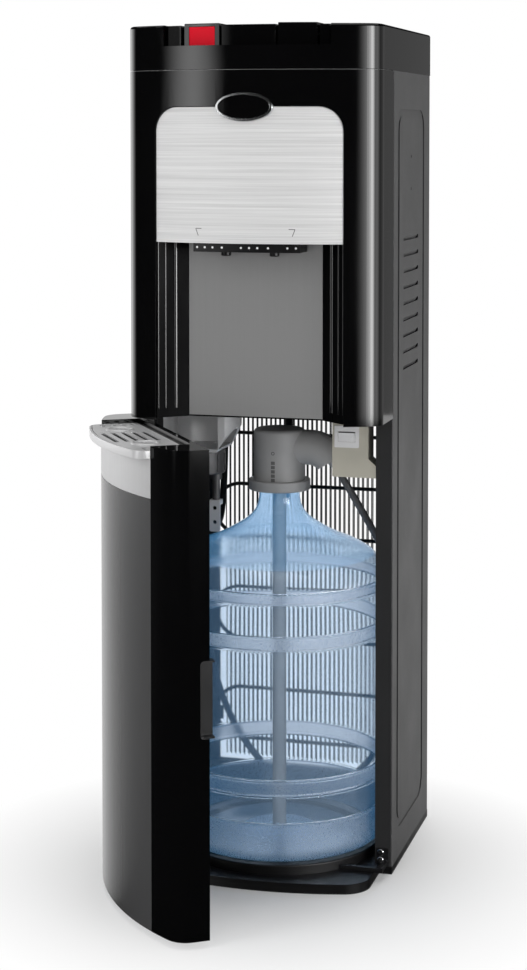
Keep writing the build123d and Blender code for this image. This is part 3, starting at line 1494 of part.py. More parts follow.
save("rear_switch_frames", *make_rear_switch_frames())
save("heater_rocker", make_rear_rocker(rear_switch_x[0]))
save("cooling_rocker", make_rear_rocker(rear_switch_x[1]))
switch_box, switch_frame = make_switch_box()
save("switch_box", switch_box)
save("switch_frame", switch_frame)
save("pump_rocker", make_rocker())
save("pump_housing", make_pump_housing(), make_pump_bracket())
save("water_pump", make_pump())
save("compartment_pipes", make_riser(), *make_drain_pipe())
save("water_bottle", make_bottle())
save("probe_cap", make_cap(), make_collar())
save("dip_tube", make_dip_tube())
save("water_hose", tube("water hose", hose_points(), hose_radius))
save("door_frame", swing(make_door_frame()))
save("door_skin", swing(make_door_skin(door_bottom, band_bottom)))
save("door_band", swing(make_door_skin(band_bottom + 0.5, tray_channel_bottom)))
save("door_liner", swing(make_door_liner()))
save("door_grip", swing(make_door_grip()))
save("tray_rim", swing(make_tray_rim()))
save("drip_basin", swing(make_drip_basin()))
save("drip_grille", swing(make_grille()))
save("pivot_pins", *make_hinge_pins(), *make_pins())
save("door_brackets", make_lower_hinge(), make_upper_hinge(), make_catch())
save("cabinet_screws", *make_screws(), *make_compressor_bolts())
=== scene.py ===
import json
from math import cos, pi, radians, sin, sqrt

import bmesh
import bpy
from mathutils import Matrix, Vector


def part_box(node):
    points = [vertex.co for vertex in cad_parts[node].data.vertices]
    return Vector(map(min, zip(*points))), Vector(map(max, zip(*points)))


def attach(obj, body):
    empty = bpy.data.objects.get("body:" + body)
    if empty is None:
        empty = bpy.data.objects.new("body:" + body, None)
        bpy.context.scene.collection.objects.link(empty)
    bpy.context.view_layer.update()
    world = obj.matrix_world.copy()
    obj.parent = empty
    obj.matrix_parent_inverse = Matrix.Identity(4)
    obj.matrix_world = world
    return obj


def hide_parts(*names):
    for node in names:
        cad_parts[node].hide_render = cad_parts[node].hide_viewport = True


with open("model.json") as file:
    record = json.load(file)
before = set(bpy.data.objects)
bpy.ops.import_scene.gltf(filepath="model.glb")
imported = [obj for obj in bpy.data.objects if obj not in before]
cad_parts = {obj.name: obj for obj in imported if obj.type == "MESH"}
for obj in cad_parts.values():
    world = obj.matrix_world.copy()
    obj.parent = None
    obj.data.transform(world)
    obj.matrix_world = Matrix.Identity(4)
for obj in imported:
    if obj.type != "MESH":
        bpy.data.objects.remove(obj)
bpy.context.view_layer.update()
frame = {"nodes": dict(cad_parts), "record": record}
nodes = frame["nodes"]
mm = 0.001
print("frame loaded:", len(nodes), "nodes")


# camera: a portrait view from the right of the front, a little below the height of the top
cameraSetup = {"place": (0.6739, -2.44394, 0.90805), "turn": 0.27128, "tilt": 0.04719, "lens": 76.41,
               "sensor": 36.0, "shift": -0.26, "clipEnd": 60}


def makeCamera(s):
    data = bpy.data.cameras.new("studioCamera")
    data.lens = s["lens"]
    data.sensor_width = s["sensor"]
    data.shift_y = s["shift"]
    data.clip_end = s["clipEnd"]
    cam = bpy.data.objects.new("studioCamera", data)
    bpy.context.scene.collection.objects.link(cam)
    cam.location = s["place"]
    cam.rotation_euler = (pi / 2 - s["tilt"], 0, s["turn"])
    bpy.context.scene.camera = cam


makeCamera(cameraSetup)
print("camera placed")


# node helpers: they work on a material or on the world
def addNode(mat, kind, **settings):
    node = mat.node_tree.nodes.new(kind)
    for key, value in settings.items():
        setattr(node, key, value)
    return node


def link(mat, source, target):
    mat.node_tree.links.new(source, target)


def mathOf(mat, operation, *values):
    # each value is a number or another node's output
    node = addNode(mat, "ShaderNodeMath", operation=operation)
    for place, value in enumerate(values):
        if isinstance(value, (int, float)):
            node.inputs[place].default_value = value
        else:
            link(mat, value, node.inputs[place])
    return node.outputs[0]


def objectSpace(mat, stretch=(1, 1, 1)):
    coords = addNode(mat, "ShaderNodeTexCoord")
    mapping = addNode(mat, "ShaderNodeMapping")
    mapping.inputs["Scale"].default_value = stretch
    link(mat, coords.outputs["Object"], mapping.inputs["Vector"])
    return mapping.outputs["Vector"]


def noiseOf(mat, vector, scale, detail=2.0, rough=0.5):
    tex = addNode(mat, "ShaderNodeTexNoise")
    tex.inputs["Scale"].default_value = scale
    tex.inputs["Detail"].default_value = detail
    tex.inputs["Roughness"].default_value = rough
    link(mat, vector, tex.inputs["Vector"])
    return tex.outputs["Fac"]


def rangeOf(mat, value, low, high, fromLow=0.3, fromHigh=0.7):
    remap = addNode(mat, "ShaderNodeMapRange")
    remap.inputs["From Min"].default_value = fromLow
    remap.inputs["From Max"].default_value = fromHigh
    remap.inputs["To Min"].default_value = low
    remap.inputs["To Max"].default_value = high
    link(mat, value, remap.inputs["Value"])
    return remap.outputs["Result"]


def mixShaders(mat, share, first, second):
    mix = addNode(mat, "ShaderNodeMixShader")
    link(mat, share, mix.inputs["Fac"])
    link(mat, first, mix.inputs[1])
    link(mat, second, mix.inputs[2])
    return mix.outputs[0]


# material helpers
def shaderOf(mat):
    return mat.node_tree.nodes["Principled BSDF"]


def newMaterial(name, color, rough, metal=0.0, level=0.5):
    mat = bpy.data.materials.new(name)
    mat.use_nodes = True
    shader = shaderOf(mat)
    shader.inputs["Base Color"].default_value = (*color, 1)
    shader.inputs["Roughness"].default_value = rough
    shader.inputs["Metallic"].default_value = metal
    shader.inputs["Specular IOR Level"].default_value = level
    return mat


def toneFrom(mat, value, color, dark, light, fromLow=0.3, fromHigh=0.7):
    # the colour runs from its dark share to its light one as the value rises
    ramp = addNode(mat, "ShaderNodeValToRGB")
    for point, place, factor in zip(ramp.color_ramp.elements, (fromLow, fromHigh), (dark, light)):
        point.position = place
        point.color = (*(channel * factor for channel in color), 1)
    link(mat, value, ramp.inputs["Fac"])
    link(mat, ramp.outputs["Color"], shaderOf(mat).inputs["Base Color"])


def roughFrom(mat, value, low, high):
    link(mat, rangeOf(mat, value, low, high), shaderOf(mat).inputs["Roughness"])


def bumpFrom(mat, value, strength, distance):
    bump = addNode(mat, "ShaderNodeBump")
    bump.inputs["Strength"].default_value = strength
    bump.inputs["Distance"].default_value = distance
    link(mat, value, bump.inputs["Height"])
    link(mat, bump.outputs["Normal"], shaderOf(mat).inputs["Normal"])


# recipes: color and rough set the finish, level its shine, and metal how far it is metal
def makeGlossPlastic(name, color, rough=0.06, level=0.35):
    # moulded gloss: nearly flawless, with faint wipe marks and a very slow waviness
    mat = newMaterial(name, color, rough, level=level)
    space = objectSpace(mat)
    wipe = noiseOf(mat, objectSpace(mat, (1, 1, 0.25)), scale=16, detail=4, rough=0.6)
    roughFrom(mat, wipe, rough * 0.7, rough * 1.5)
    toneFrom(mat, noiseOf(mat, space, scale=9), color, dark=0.9, light=1.12)
    bumpFrom(mat, noiseOf(mat, space, scale=22, detail=1), strength=0.05, distance=0.0004)
    return mat


def makeMouldedPlastic(name, color, rough=0.45, grain=1400, depth=0.00003, level=0.4):
    # spark-eroded texture of a moulding, with slight shifts of tone
    mat = newMaterial(name, color, rough, level=level)
    space = objectSpace(mat)
    toneFrom(mat, noiseOf(mat, space, scale=14, detail=3), color, dark=0.88, light=1.1)
    roughFrom(mat, noiseOf(mat, space, scale=60, detail=3), rough * 0.85, rough * 1.15)
    bumpFrom(mat, noiseOf(mat, space, scale=grain), strength=0.35, distance=depth)
    return mat


def makePowderCoat(name, color, rough=0.5):
    # baked powder: orange peel and a fine dark speckle
    mat = newMaterial(name, color, rough, level=0.35)
    space = objectSpace(mat)
    speckle = noiseOf(mat, space, scale=900, rough=0.7)
    toneFrom(mat, speckle, color, dark=0.8, light=1.2, fromLow=0.35, fromHigh=0.65)
    roughFrom(mat, noiseOf(mat, space, scale=12, detail=4), rough * 0.88, rough * 1.1)
    bumpFrom(mat, noiseOf(mat, space, scale=520, detail=3, rough=0.6), strength=0.4, distance=0.00005)
    return mat


# brush lines of sheet metal: how often the noise changes along and across them
brushLines = {"fine": {"along": 6.4, "across": 900, "detail": 4, "rough": 0.7},
              "wide": {"along": 3.2, "across": 330, "detail": 2, "rough": 0.5}}


def linesOf(mat, axis, s):
    stretch = {"X": (s["along"], s["along"], s["across"]), "Z": (s["across"], s["across"], s["along"])}[axis]
    return noiseOf(mat, objectSpace(mat, stretch), scale=1.0, detail=s["detail"], rough=s["rough"])


def makeSatinSheet(name, color, rough, metal, axis, contrast, coarse=0.35, level=0.4):
    # rolled steel with fine brush lines over broader ones and no clouds; they run level (X) or upright (Z)
    mat = newMaterial(name, color, rough, metal, level)
    lines = addNode(mat, "ShaderNodeMix", data_type="FLOAT")
    lines.inputs["Factor"].default_value = coarse
    link(mat, linesOf(mat, axis, brushLines["fine"]), lines.inputs["A"])
    link(mat, linesOf(mat, axis, brushLines["wide"]), lines.inputs["B"])
    mixed = lines.outputs["Result"]
    toneFrom(mat, mixed, color, dark=1 - contrast, light=1 + contrast, fromLow=0.36, fromHigh=0.64)
    roughFrom(mat, mixed, rough * 0.92, rough * 1.08)
    bumpFrom(mat, mixed, strength=0.1, distance=0.00002)
    return mat


def makeBareMetal(name, color, rough, tarnish=0.2):
    # plated or drawn metal, dull and darker in clouds
    mat = newMaterial(name, color, rough, metal=1.0)
    space = objectSpace(mat)
    cloud = noiseOf(mat, space, scale=34, detail=5, rough=0.6)
    toneFrom(mat, cloud, color, dark=1 - tarnish, light=1)
    roughFrom(mat, cloud, rough * 1.35, rough * 0.75)
    bumpFrom(mat, noiseOf(mat, space, scale=420), strength=0.1, distance=0.00004)
    return mat


def makeRubber(name, color, rough=0.6):
    # matt rubber with a thin film of dust
    mat = newMaterial(name, color, rough, level=0.3)
    space = objectSpace(mat)
    dust = noiseOf(mat, space, scale=46, detail=5, rough=0.65)
    toneFrom(mat, dust, color, dark=1, light=1.5, fromLow=0.35, fromHigh=0.8)
    roughFrom(mat, dust, rough * 0.85, rough * 1.2)
    bumpFrom(mat, noiseOf(mat, space, scale=800), strength=0.3, distance=0.00004)
    return mat


def makeFoam(name, color):
    # insulation with open cells
    mat = newMaterial(name, color, 0.85, level=0.2)
    cells = addNode(mat, "ShaderNodeTexVoronoi", feature="DISTANCE_TO_EDGE")
    cells.inputs["Scale"].default_value = 260
    link(mat, objectSpace(mat), cells.inputs["Vector"])
    edge = cells.outputs["Distance"]
    toneFrom(mat, edge, color, dark=0.72, light=1, fromLow=0.0, fromHigh=0.2)
    bumpFrom(mat, edge, strength=0.6, distance=0.0006)
    return mat


def makeClearPlastic(name, color, rough, clear, glow, frost=0.0):
    # thin blown shell, faintly milky: its glow is painted light, a faint blue emission standing in for the
    # light the milky plastic scatters, and frost stipples it
    mat = newMaterial(name, color, rough)
    shader = shaderOf(mat)
    shader.inputs["Transmission Weight"].default_value = clear
    shader.inputs["IOR"].default_value = 1.32
    # painted light: the shell glows faintly blue, though it is no lamp
    shader.inputs["Emission Color"].default_value = (0.1, 0.5, 1, 1)
    shader.inputs["Emission Strength"].default_value = glow
    space = objectSpace(mat)
    if frost:
        stipple = noiseOf(mat, space, scale=700, detail=3, rough=0.7)
        roughFrom(mat, stipple, rough * 0.7, rough * 1.2)
        bumpFrom(mat, stipple, strength=frost, distance=0.0004)
    else:
        roughFrom(mat, noiseOf(mat, space, scale=24, detail=3), rough * 0.8, rough * 1.2)
        waves = noiseOf(mat, objectSpace(mat, (1, 1, 0.35)), scale=16)
        bumpFrom(mat, waves, strength=0.25, distance=0.0012)
    return mat


paints = {
    # plastics
    "blackGloss": makeGlossPlastic("blackGloss", (0.002, 0.002, 0.0022)),
    "nicheBlack": makeGlossPlastic("nicheBlack", (0.002, 0.002, 0.0022), rough=0.3, level=0.015),
    "beadBlack": makeGlossPlastic("beadBlack", (0.004, 0.004, 0.0045), rough=0.12, level=0.6),
    "red": makeGlossPlastic("redGloss", (0.66, 0.006, 0.02), rough=0.4, level=0.08),
    "blackSatin": makeMouldedPlastic("blackSatin", (0.005, 0.005, 0.0055), rough=0.38, level=0.25),
    # a painted highlight: light grey for the upward-facing top edge of the front panel
    "seamPaintedHighlight": makeMouldedPlastic("seamPaintedHighlight", (0.62, 0.62, 0.625), rough=0.35),
    "probeGrey": makeMouldedPlastic("probeGrey", (0.4, 0.4, 0.402), rough=0.55, level=0.25),
    "housingGrey": makeMouldedPlastic("housingGrey", (0.78, 0.78, 0.79)),
    "pumpDark": makeMouldedPlastic("pumpDark", (0.06, 0.06, 0.064), rough=0.5),
    "beige": makeMouldedPlastic("beige", (0.48, 0.46, 0.39), rough=0.4),
    "white": makeMouldedPlastic("whitePlastic", (0.78, 0.78, 0.79), rough=0.25, grain=900, depth=0.00001),
    "markGrey": makeMouldedPlastic("markGrey", (0.14, 0.14, 0.14), rough=0.5),
    # painted and brushed sheet
    "panelGrey": makePowderCoat("panelGrey", (0.1, 0.1, 0.101)),
    "panelInner": makePowderCoat("panelInner", (0.02, 0.02, 0.021)),
    "frameGrey": makePowderCoat("frameGrey", (0.05, 0.05, 0.051)),
    "blackPaint": makePowderCoat("blackPaint", (0.008, 0.008, 0.009), rough=0.35),
    "doorSatin": makeSatinSheet("doorSatin", (0.062, 0.062, 0.063), rough=0.24, metal=0.0, axis="Z",
                                contrast=0.02, coarse=0.1),
    "facePlate": makeSatinSheet("facePlate", (0.66, 0.66, 0.66), rough=0.5, metal=0.1, axis="X",
                                contrast=0.13, coarse=0.45, level=0.15),
    "bandSteel": makeSatinSheet("bandSteel", (0.55, 0.55, 0.555), rough=0.42, metal=0.45, axis="Z",
                                contrast=0.04),
    "nicheSteel": makeSatinSheet("nicheSteel", (0.22, 0.22, 0.22), rough=0.55, metal=0.0, axis="Z",
                                 contrast=0.02),
    "trayGrey": makeSatinSheet("trayGrey", (0.6, 0.6, 0.605), rough=0.34, metal=0.3, axis="X", contrast=0.02),
    # bare metal
    "silver": makeBareMetal("silver", (0.72, 0.73, 0.74), rough=0.18, tarnish=0.06),
    "bareSteel": makeBareMetal("bareSteel", (0.56, 0.56, 0.57), rough=0.3),
    "copper": makeBareMetal("copper", (0.78, 0.36, 0.2), rough=0.28, tarnish=0.35),
    # rubber and foam
    "hoseGrey": makeRubber("hoseGrey", (0.1, 0.1, 0.105), rough=0.5),
    "blackRubber": makeRubber("blackRubber", (0.008, 0.008, 0.008)),
    "foam": makeFoam("foam", (0.85, 0.85, 0.82)),
    # the bottle's wall, its frosted bands, and its hazier shoulder and neck, each with a faint glow of
    # painted light
    "bottle": makeClearPlastic("bottleClear", (0.85, 0.925, 1.0), rough=0.05, clear=0.94, glow=0.018),
    "bottleFrost": makeClearPlastic("bottleFrost", (0.86, 0.91, 0.99), rough=0.3, clear=0.92, glow=0.035,
                                    frost=0.5),
    "bottleHaze": makeClearPlastic("bottleHaze", (0.83, 0.92, 1.0), rough=0.1, clear=0.95, glow=0.07),
}
print("materials made:", len(paints))


# mesh helpers: lengths are in millimetres and angles in degrees
meshRules = {"merge": 0.012, "flat": 0.6, "sharp": 32, "bevelFrom": 38, "bevelSteps": 2}


def toObject(bm, name, coats, body, replaced=(), sharp=meshRules["sharp"], weighted=True):
    mesh = bpy.data.meshes.new(name)
    bm.to_mesh(mesh)
    bm.free()
    for coat in coats:
        mesh.materials.append(paints[coat])
    mesh.shade_smooth()
    mesh.set_sharp_from_angle(angle=radians(sharp))
    obj = bpy.data.objects.new(name, mesh)
    bpy.context.scene.collection.objects.link(obj)
    if weighted:
        fix = obj.modifiers.new("evenNormals", "WEIGHTED_NORMAL")
        fix.keep_sharp = True
    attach(obj, body)
    if replaced:
        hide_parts(*replaced)


def nodeCopy(node):
    # a copy of the carried-over mesh with its doubles merged and its flat faces joined
    bm = bmesh.new()
    bm.from_mesh(nodes[node].data)
    bmesh.ops.remove_doubles(bm, verts=bm.verts, dist=meshRules["merge"] * mm)
    bmesh.ops.dissolve_limit(bm, angle_limit=radians(meshRules["flat"]), verts=bm.verts, edges=bm.edges)
    return bm


def roundEdges(bm, edges, width, slide):
    bmesh.ops.bevel(bm, geom=edges, offset=width * mm, offset_type="OFFSET", affect="EDGES",
                    segments=meshRules["bevelSteps"], profile=0.5, material=-1, clamp_overlap=True,
                    loop_slide=slide)


def breakEdges(bm, width):
    bend = radians(meshRules["bevelFrom"])
    bent = [e for e in bm.edges if len(e.link_faces) == 2 and e.calc_face_angle(0) >= bend]
    roundEdges(bm, bent, width, slide=True)


bodyOf = {name: body for body, members in frame["record"]["behaviour"]["bodies"].items() for name in members}


# a few panels have a second paint, on the faces that one of these two functions picks: the values are
# shares of a face's normal, and a depth in millimetres below the panel's top
frontSeam = {"upFrom": 0.15, "upTo": 0.97, "depth": 1.4}
panelBack = {"inward": 0.6, "forward": 0.7}
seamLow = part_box("front_panel")[1].z - frontSeam["depth"] * mm


def onTopEdge(face):
    # the upward-facing part of the rounded edge round the top of the front panel: it gets a light grey paint,
    # a painted highlight where that edge catches the light
    rounded = frontSeam["upFrom"] < face.normal.z < frontSeam["upTo"]
    return rounded and face.calc_center_median().z > seamLow


def onInside(face):
    # the faces of a side panel that look into the cabinet or forwards
    side = face.calc_center_median().x
    return face.normal.x * side < -panelBack["inward"] * abs(side) or face.normal.y < -panelBack["forward"]


secondPaint = {"front_panel": ("seamPaintedHighlight", onTopEdge), "side_panel_right": ("panelInner", onInside),
               "side_panel_left": ("panelInner", onInside)}


def dress(node, paint, width):
    bm = nodeCopy(node)
    if width:
        breakEdges(bm, width)
    coats = [paint]
    if node in secondPaint:
        second, chosen = secondPaint[node]
        coats.append(second)
        bm.normal_update()
        for face in bm.faces:
            face.material_index = int(chosen(face))
    toObject(bm, node + "Shell", coats, bodyOf[node], (node,))


def paintNode(node, paint):
    coats = nodes[node].data.materials
    coats.clear()
    coats.append(paints[paint])


# nodes dressed in a shell of their own shape: its paint, and how wide its edges are broken
shells = {
    "base_tray": ("blackSatin", 0.6), "side_panel_right": ("panelGrey", 0.35),
    "side_panel_left": ("panelGrey", 0.35), "front_panel": ("blackGloss", 0.9),
    "face_plate": ("facePlate", 0.2), "badge_bezel": ("silver", 0.5), "badge_insert": ("blackGloss", 0.4),
    "niche_liner": ("nicheBlack", 0.5), "niche_back_plate": ("nicheSteel", 0.15),
    "nozzle_housing": ("blackSatin", 0.6), "nozzles": ("blackSatin", 0.3), "top_cover": ("blackGloss", 0.5),
    "button_deck": ("blackGloss", 0.5), "hot_button": ("blackGloss", 0.6), "cold_button": ("blackGloss", 0.6),
    "hot_lock_slide": ("red", 0.4), "compartment_ceiling": ("blackPaint", 0.2),
    "rear_cover": ("panelGrey", 0.2), "rubber_feet": ("blackRubber", 0.3), "cord_gland": ("blackSatin", 0.4),
    "rear_switch_frames": ("blackSatin", 0.3), "heater_rocker": ("red", 0.3),
    "cooling_rocker": ("blackSatin", 0.3), "switch_box": ("beige", 0.6), "switch_frame": ("white", 0.4),
    "pump_rocker": ("white", 0.4), "pump_housing": ("housingGrey", 0.8), "water_pump": ("pumpDark", 0.4),
    "probe_cap": ("probeGrey", 0.5), "dip_tube": ("probeGrey", 0.2), "door_frame": ("blackGloss", 0.6),
    "door_skin": ("doorSatin", 0.3), "door_band": ("bandSteel", 0.3), "door_liner": ("blackSatin", 0.3),
    "door_grip": ("blackSatin", 0.5), "tray_rim": ("trayGrey", 0.6), "drip_basin": ("blackSatin", 0.4),
    "drip_grille": ("trayGrey", 0.35), "door_brackets": ("blackPaint", 0.3),
    "condenser_clips": ("blackSatin", 0.3), "control_box": ("blackSatin", 0.4),
    "inner_frame": ("frameGrey", 0.0),
}
for node, (paint, width) in shells.items():
    dress(node, paint, width)

# nodes that keep their own mesh and only get a paint
bare = {
    "status_lights": "white", "hot_button_spring": "bareSteel", "cold_button_spring": "bareSteel",
    "button_switches": "blackSatin", "cold_tank": "bareSteel", "tank_insulation": "foam",
    "evaporator_coil": "copper", "hot_tank": "bareSteel", "heater_band": "bareSteel",
    "compressor": "blackPaint", "compressor_grommets": "blackRubber", "condenser": "blackPaint",
    "refrigerant_line": "copper", "compartment_pipes": "blackRubber", "pivot_pins": "bareSteel",
    "cabinet_screws": "silver",
}
for node, paint in bare.items():
    paintNode(node, paint)
print("nodes dressed:", len(shells), "shells,", len(bare), "painted")


# small trim, in millimetres: beads down the flared walls of the niche, each with its share of the way
# from the mouth to the back and its radius, then the marks on the face plate and the probe
nicheBeads = {"mouth": (116.5, -84.6), "back": (84, -56.5), "low": 577, "high": 786, "sides": 20,
              "endEdge": 0.5, "beads": ((0.05, 1.0), (0.27, 1.2), (0.585, 2.6))}
frontShape = {"bulge": 108, "radius": 365}
spoutMarks = {"middles": (-58, 57), "top": 797.5, "width": 7.5, "tip": 0.5, "drop": 8.5, "line": 0.9,
              "inset": 1.97, "depth": 0.25}
probeMarks = {"middle": 55, "radius": 32.62, "depth": 0.25, "sides": 20, "ringHeight": 511, "ringInner": 1.3,
              "ringOuter": 2.3, "slots": 5, "slotTop": 501, "slotPitch": 5.4, "slotLength": 4.2,
              "slotWidth": 5.0, "merge": 0.001}
rockerWell = {"margin": 1.6, "thick": 0.4, "behind": 1.6}


def frontY(x, inset):
    # how far back the curved front lies, with a wall of the inset taken off
    radius = frontShape["radius"] - inset
    return inset - frontShape["bulge"] + radius - sqrt(radius * radius - x * x)


def flatFace(bm, corners):
    # an upright face from its corners, each across and up
    bm.faces.new([bm.verts.new((x * mm, 0, z * mm)) for x, z in corners])


def thickenMarks(bm, depth):
    # turns the marks to the front and gives them their depth
    bmesh.ops.recalc_face_normals(bm, faces=bm.faces)
    for face in bm.faces:
        if face.normal.y > 0:
            face.normal_flip()
    bmesh.ops.solidify(bm, geom=bm.faces[:], thickness=depth * mm)


def makeBeads(s):
    bm = bmesh.new()
    tall, middle = s["high"] - s["low"], (s["high"] + s["low"]) / 2
    for side in (-1, 1):
        for share, radius in s["beads"]:
            x, y = (a + (b - a) * share for a, b in zip(s["mouth"], s["back"]))
            new = bmesh.ops.create_cone(bm, cap_ends=True, segments=s["sides"], radius1=radius * mm,
                                        radius2=radius * mm, depth=tall * mm)["verts"]
            bmesh.ops.translate(bm, verts=new, vec=(side * x * mm, y * mm, middle * mm))
    ends = [e for e in bm.edges if abs(e.verts[0].co.z - e.verts[1].co.z) < tall / 2 * mm]
    roundEdges(bm, ends, s["endEdge"], slide=False)
    toObject(bm, "nicheBeads", ["beadBlack"], "cabinet")


def makeSpoutMarks(s):
    # each is a level line and a slanted one that meet at the outer end
    bm = bmesh.new()
    for middle, side in zip(s["middles"], (-1, 1)):
        inner, outer = (middle - side * s["width"] / 2, 0), (middle + side * s["width"] / 2, 0)
        tip = (middle + side * s["tip"], -s["drop"])
        for (x0, z0), (x1, z1) in ((inner, outer), (outer, tip)):
            run = Vector((x1 - x0, 0, z1 - z0))
            across = Vector((-run.z, 0, run.x)).normalized() * s["line"] / 2
            corners = ((x0, z0, across), (x1, z1, across), (x1, z1, -across), (x0, z0, -across))
            flatFace(bm, [(x + a.x, z + a.z + s["top"]) for x, z, a in corners])
    for vert in bm.verts:
        vert.co.y = frontY(vert.co.x / mm, s["inset"]) * mm
    thickenMarks(bm, s["depth"])
    toObject(bm, "spoutMarks", ["markGrey"], "cabinet", weighted=False)


def makeProbeMarks(s):
    # a small ring and a column of short slots on the front of the probe cap
    bm = bmesh.new()
    inner, outer = s["ringInner"], s["ringOuter"]
    for step in range(s["sides"]):
        start, end = (2 * pi * turn / s["sides"] for turn in (step, step + 1))
        corners = ((inner, start), (outer, start), (outer, end), (inner, end))
        flatFace(bm, [(reach * cos(angle), s["ringHeight"] + reach * sin(angle)) for reach, angle in corners])
    half = s["slotWidth"] / 2
    for step in range(s["slots"]):
        top = s["slotTop"] - step * s["slotPitch"]
        low = top - s["slotLength"]
        flatFace(bm, ((-half, low), (half, low), (half, top), (-half, top)))
    bmesh.ops.remove_doubles(bm, verts=bm.verts, dist=s["merge"] * mm)
    for vert in bm.verts:
        across = vert.co.x / mm
        vert.co.y = (s["middle"] - sqrt(s["radius"] * s["radius"] - across * across)) * mm
    thickenMarks(bm, s["depth"])
    toObject(bm, "probeMarks", ["markGrey"], "cabinet", weighted=False)


def makeRockerWell(s):
    # closes the view through the gap round the pump rocker
    low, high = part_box("pump_rocker")
    size = (high.x - low.x + s["margin"] * mm, s["thick"] * mm, high.z - low.z + s["margin"] * mm)
    place = ((low.x + high.x) / 2, high.y + s["behind"] * mm, (low.z + high.z) / 2)
    bm = bmesh.new()
    bmesh.ops.create_cube(bm, size=1.0)
    bmesh.ops.scale(bm, verts=bm.verts, vec=size)
    bmesh.ops.translate(bm, verts=bm.verts, vec=place)
    toObject(bm, "rockerWell", ["markGrey"], "cabinet", weighted=False)


makeBeads(nicheBeads)
makeSpoutMarks(spoutMarks)
makeProbeMarks(probeMarks)
makeRockerWell(rockerWell)
print("trim made")


# the bottle, in millimetres: one wall, spun from half a section
bottleShape = {
    "axis": (0, 55), "radius": 135, "wall": 1.6, "floor": 24, "corner": 20, "cornerSteps": 6, "mouth": 465,
    "neck": 26, "neckFrom": 455, "sides": 144, "merge": 0.01, "sharp": 50,
    # the floor's rise at each radius, then radius and height up the shoulder
    "floorRise": ((0, 4), (26, 3.8), (48, 3.0), (70, 1.2), (88, 0.2), (100, 0)),
    "shoulder": ((135, 356), (133, 364), (128, 373), (120, 382), (108, 390), (96, 396), (84, 400.5),
                 (73, 405.5), (63, 411), (53, 417), (43.5, 423), (36, 429.5), (30.5, 436.5), (27.3, 444),
                 (26, 452)),
    # frosted bands from and to a height, with a groove at each edge, and the height where the haze begins
    "bands": ((27, 74), (109, 127), (286, 302), (342, 354)), "hazeFrom": 384, "grooveWidth": 4.0,
    "grooveDepth": 2.0, "grooveAboveCorner": 3, "wallBelowShoulder": 1,
    # a groove's section: half widths from its middle, and its share of the depth there
    "groove": ((-1.0, 0), (-0.6, 0.35), (-0.25, 0.9), (0, 1), (0.25, 0.9), (0.6, 0.35), (1.0, 0)),
}
bottleCoats = ["bottle", "bottleFrost", "bottleHaze"]


def bottleOutline(s):
    # radius and height from the middle of the floor to the mouth
    points = [(reach, s["floor"] + rise) for reach, rise in s["floorRise"]]
    for step in range(s["cornerSteps"] + 1):
        turn = step / s["cornerSteps"] * pi / 2
        inward, up = s["corner"] * (1 - sin(turn)), s["corner"] * (1 - cos(turn))
        points.append((s["radius"] - inward, s["floor"] + up))
    lowest = s["floor"] + s["corner"] + s["grooveAboveCorner"]
    for middle in (edge for band in s["bands"] for edge in band if edge >= lowest):
        for offset, sink in s["groove"]:
            points.append((s["radius"] - sink * s["grooveDepth"], middle + offset * s["grooveWidth"] / 2))
    wallTop = s["shoulder"][0][1] - s["wallBelowShoulder"]
    points = [point for point in points if point[1] < wallTop] + list(s["shoulder"])
    return points + [(s["neck"], s["neckFrom"]), (s["neck"], s["mouth"])]


def bottleCoatAt(height, s):
    if height > s["hazeFrom"]:
        return bottleCoats.index("bottleHaze")
    frosted = any(low < height < high for low, high in s["bands"])
    return bottleCoats.index("bottleFrost" if frosted else "bottle")


def makeBottle(s):
    bm = bmesh.new()
    verts = [bm.verts.new((r * mm, 0, z * mm)) for r, z in bottleOutline(s)]
    edges = [bm.edges.new(pair) for pair in zip(verts, verts[1:])]
    bmesh.ops.spin(bm, geom=verts + edges, cent=(0, 0, 0), axis=(0, 0, 1), angle=2 * pi, steps=s["sides"],
                   use_merge=True)
    bmesh.ops.remove_doubles(bm, verts=bm.verts, dist=s["merge"] * mm)
    bmesh.ops.recalc_face_normals(bm, faces=bm.faces)
    outermost = max(bm.faces, key=lambda face: face.calc_center_median().x)
    if outermost.normal.x < 0:
        bmesh.ops.reverse_faces(bm, faces=bm.faces)
    for face in bm.faces:
        face.material_index = bottleCoatAt(face.calc_center_median().z / mm, s)
    bmesh.ops.solidify(bm, geom=bm.faces[:], thickness=s["wall"] * mm)
    bmesh.ops.translate(bm, verts=bm.verts, vec=(s["axis"][0] * mm, s["axis"][1] * mm, 0))
    toObject(bm, "waterBottleShell", bottleCoats, "cabinet", ("water_bottle",), s["sharp"])


makeBottle(bottleShape)


# the hose, in millimetres: from the probe's elbow, down behind the bottle and up to the pump
hoseRoute = {
    "start": (68.833, 55, 500.017), "way": (0.529919, 0, -0.848048), "stub": 7.05, "lead": 40, "radius": 4.5,
    "points": ((118, 84, 404), (134, 124, 350), (141, 166, 290), (142, 196, 228), (134, 206, 168),
               (112, 206, 112), (80, 206, 68), (40, 205, 37), (-8, 204, 32), (-56, 204, 52), (-98, 205, 98),
               (-126, 204, 156), (-138, 194, 220), (-141, 172, 284), (-141, 140, 340), (-138, 104, 388),
               (-132, 68, 415), (-117.5, 42, 424), (-111.5, 34, 446), (-111.5, 34, 465.95)),
    "stepsRound": 6, "stepsAlong": 10,
}


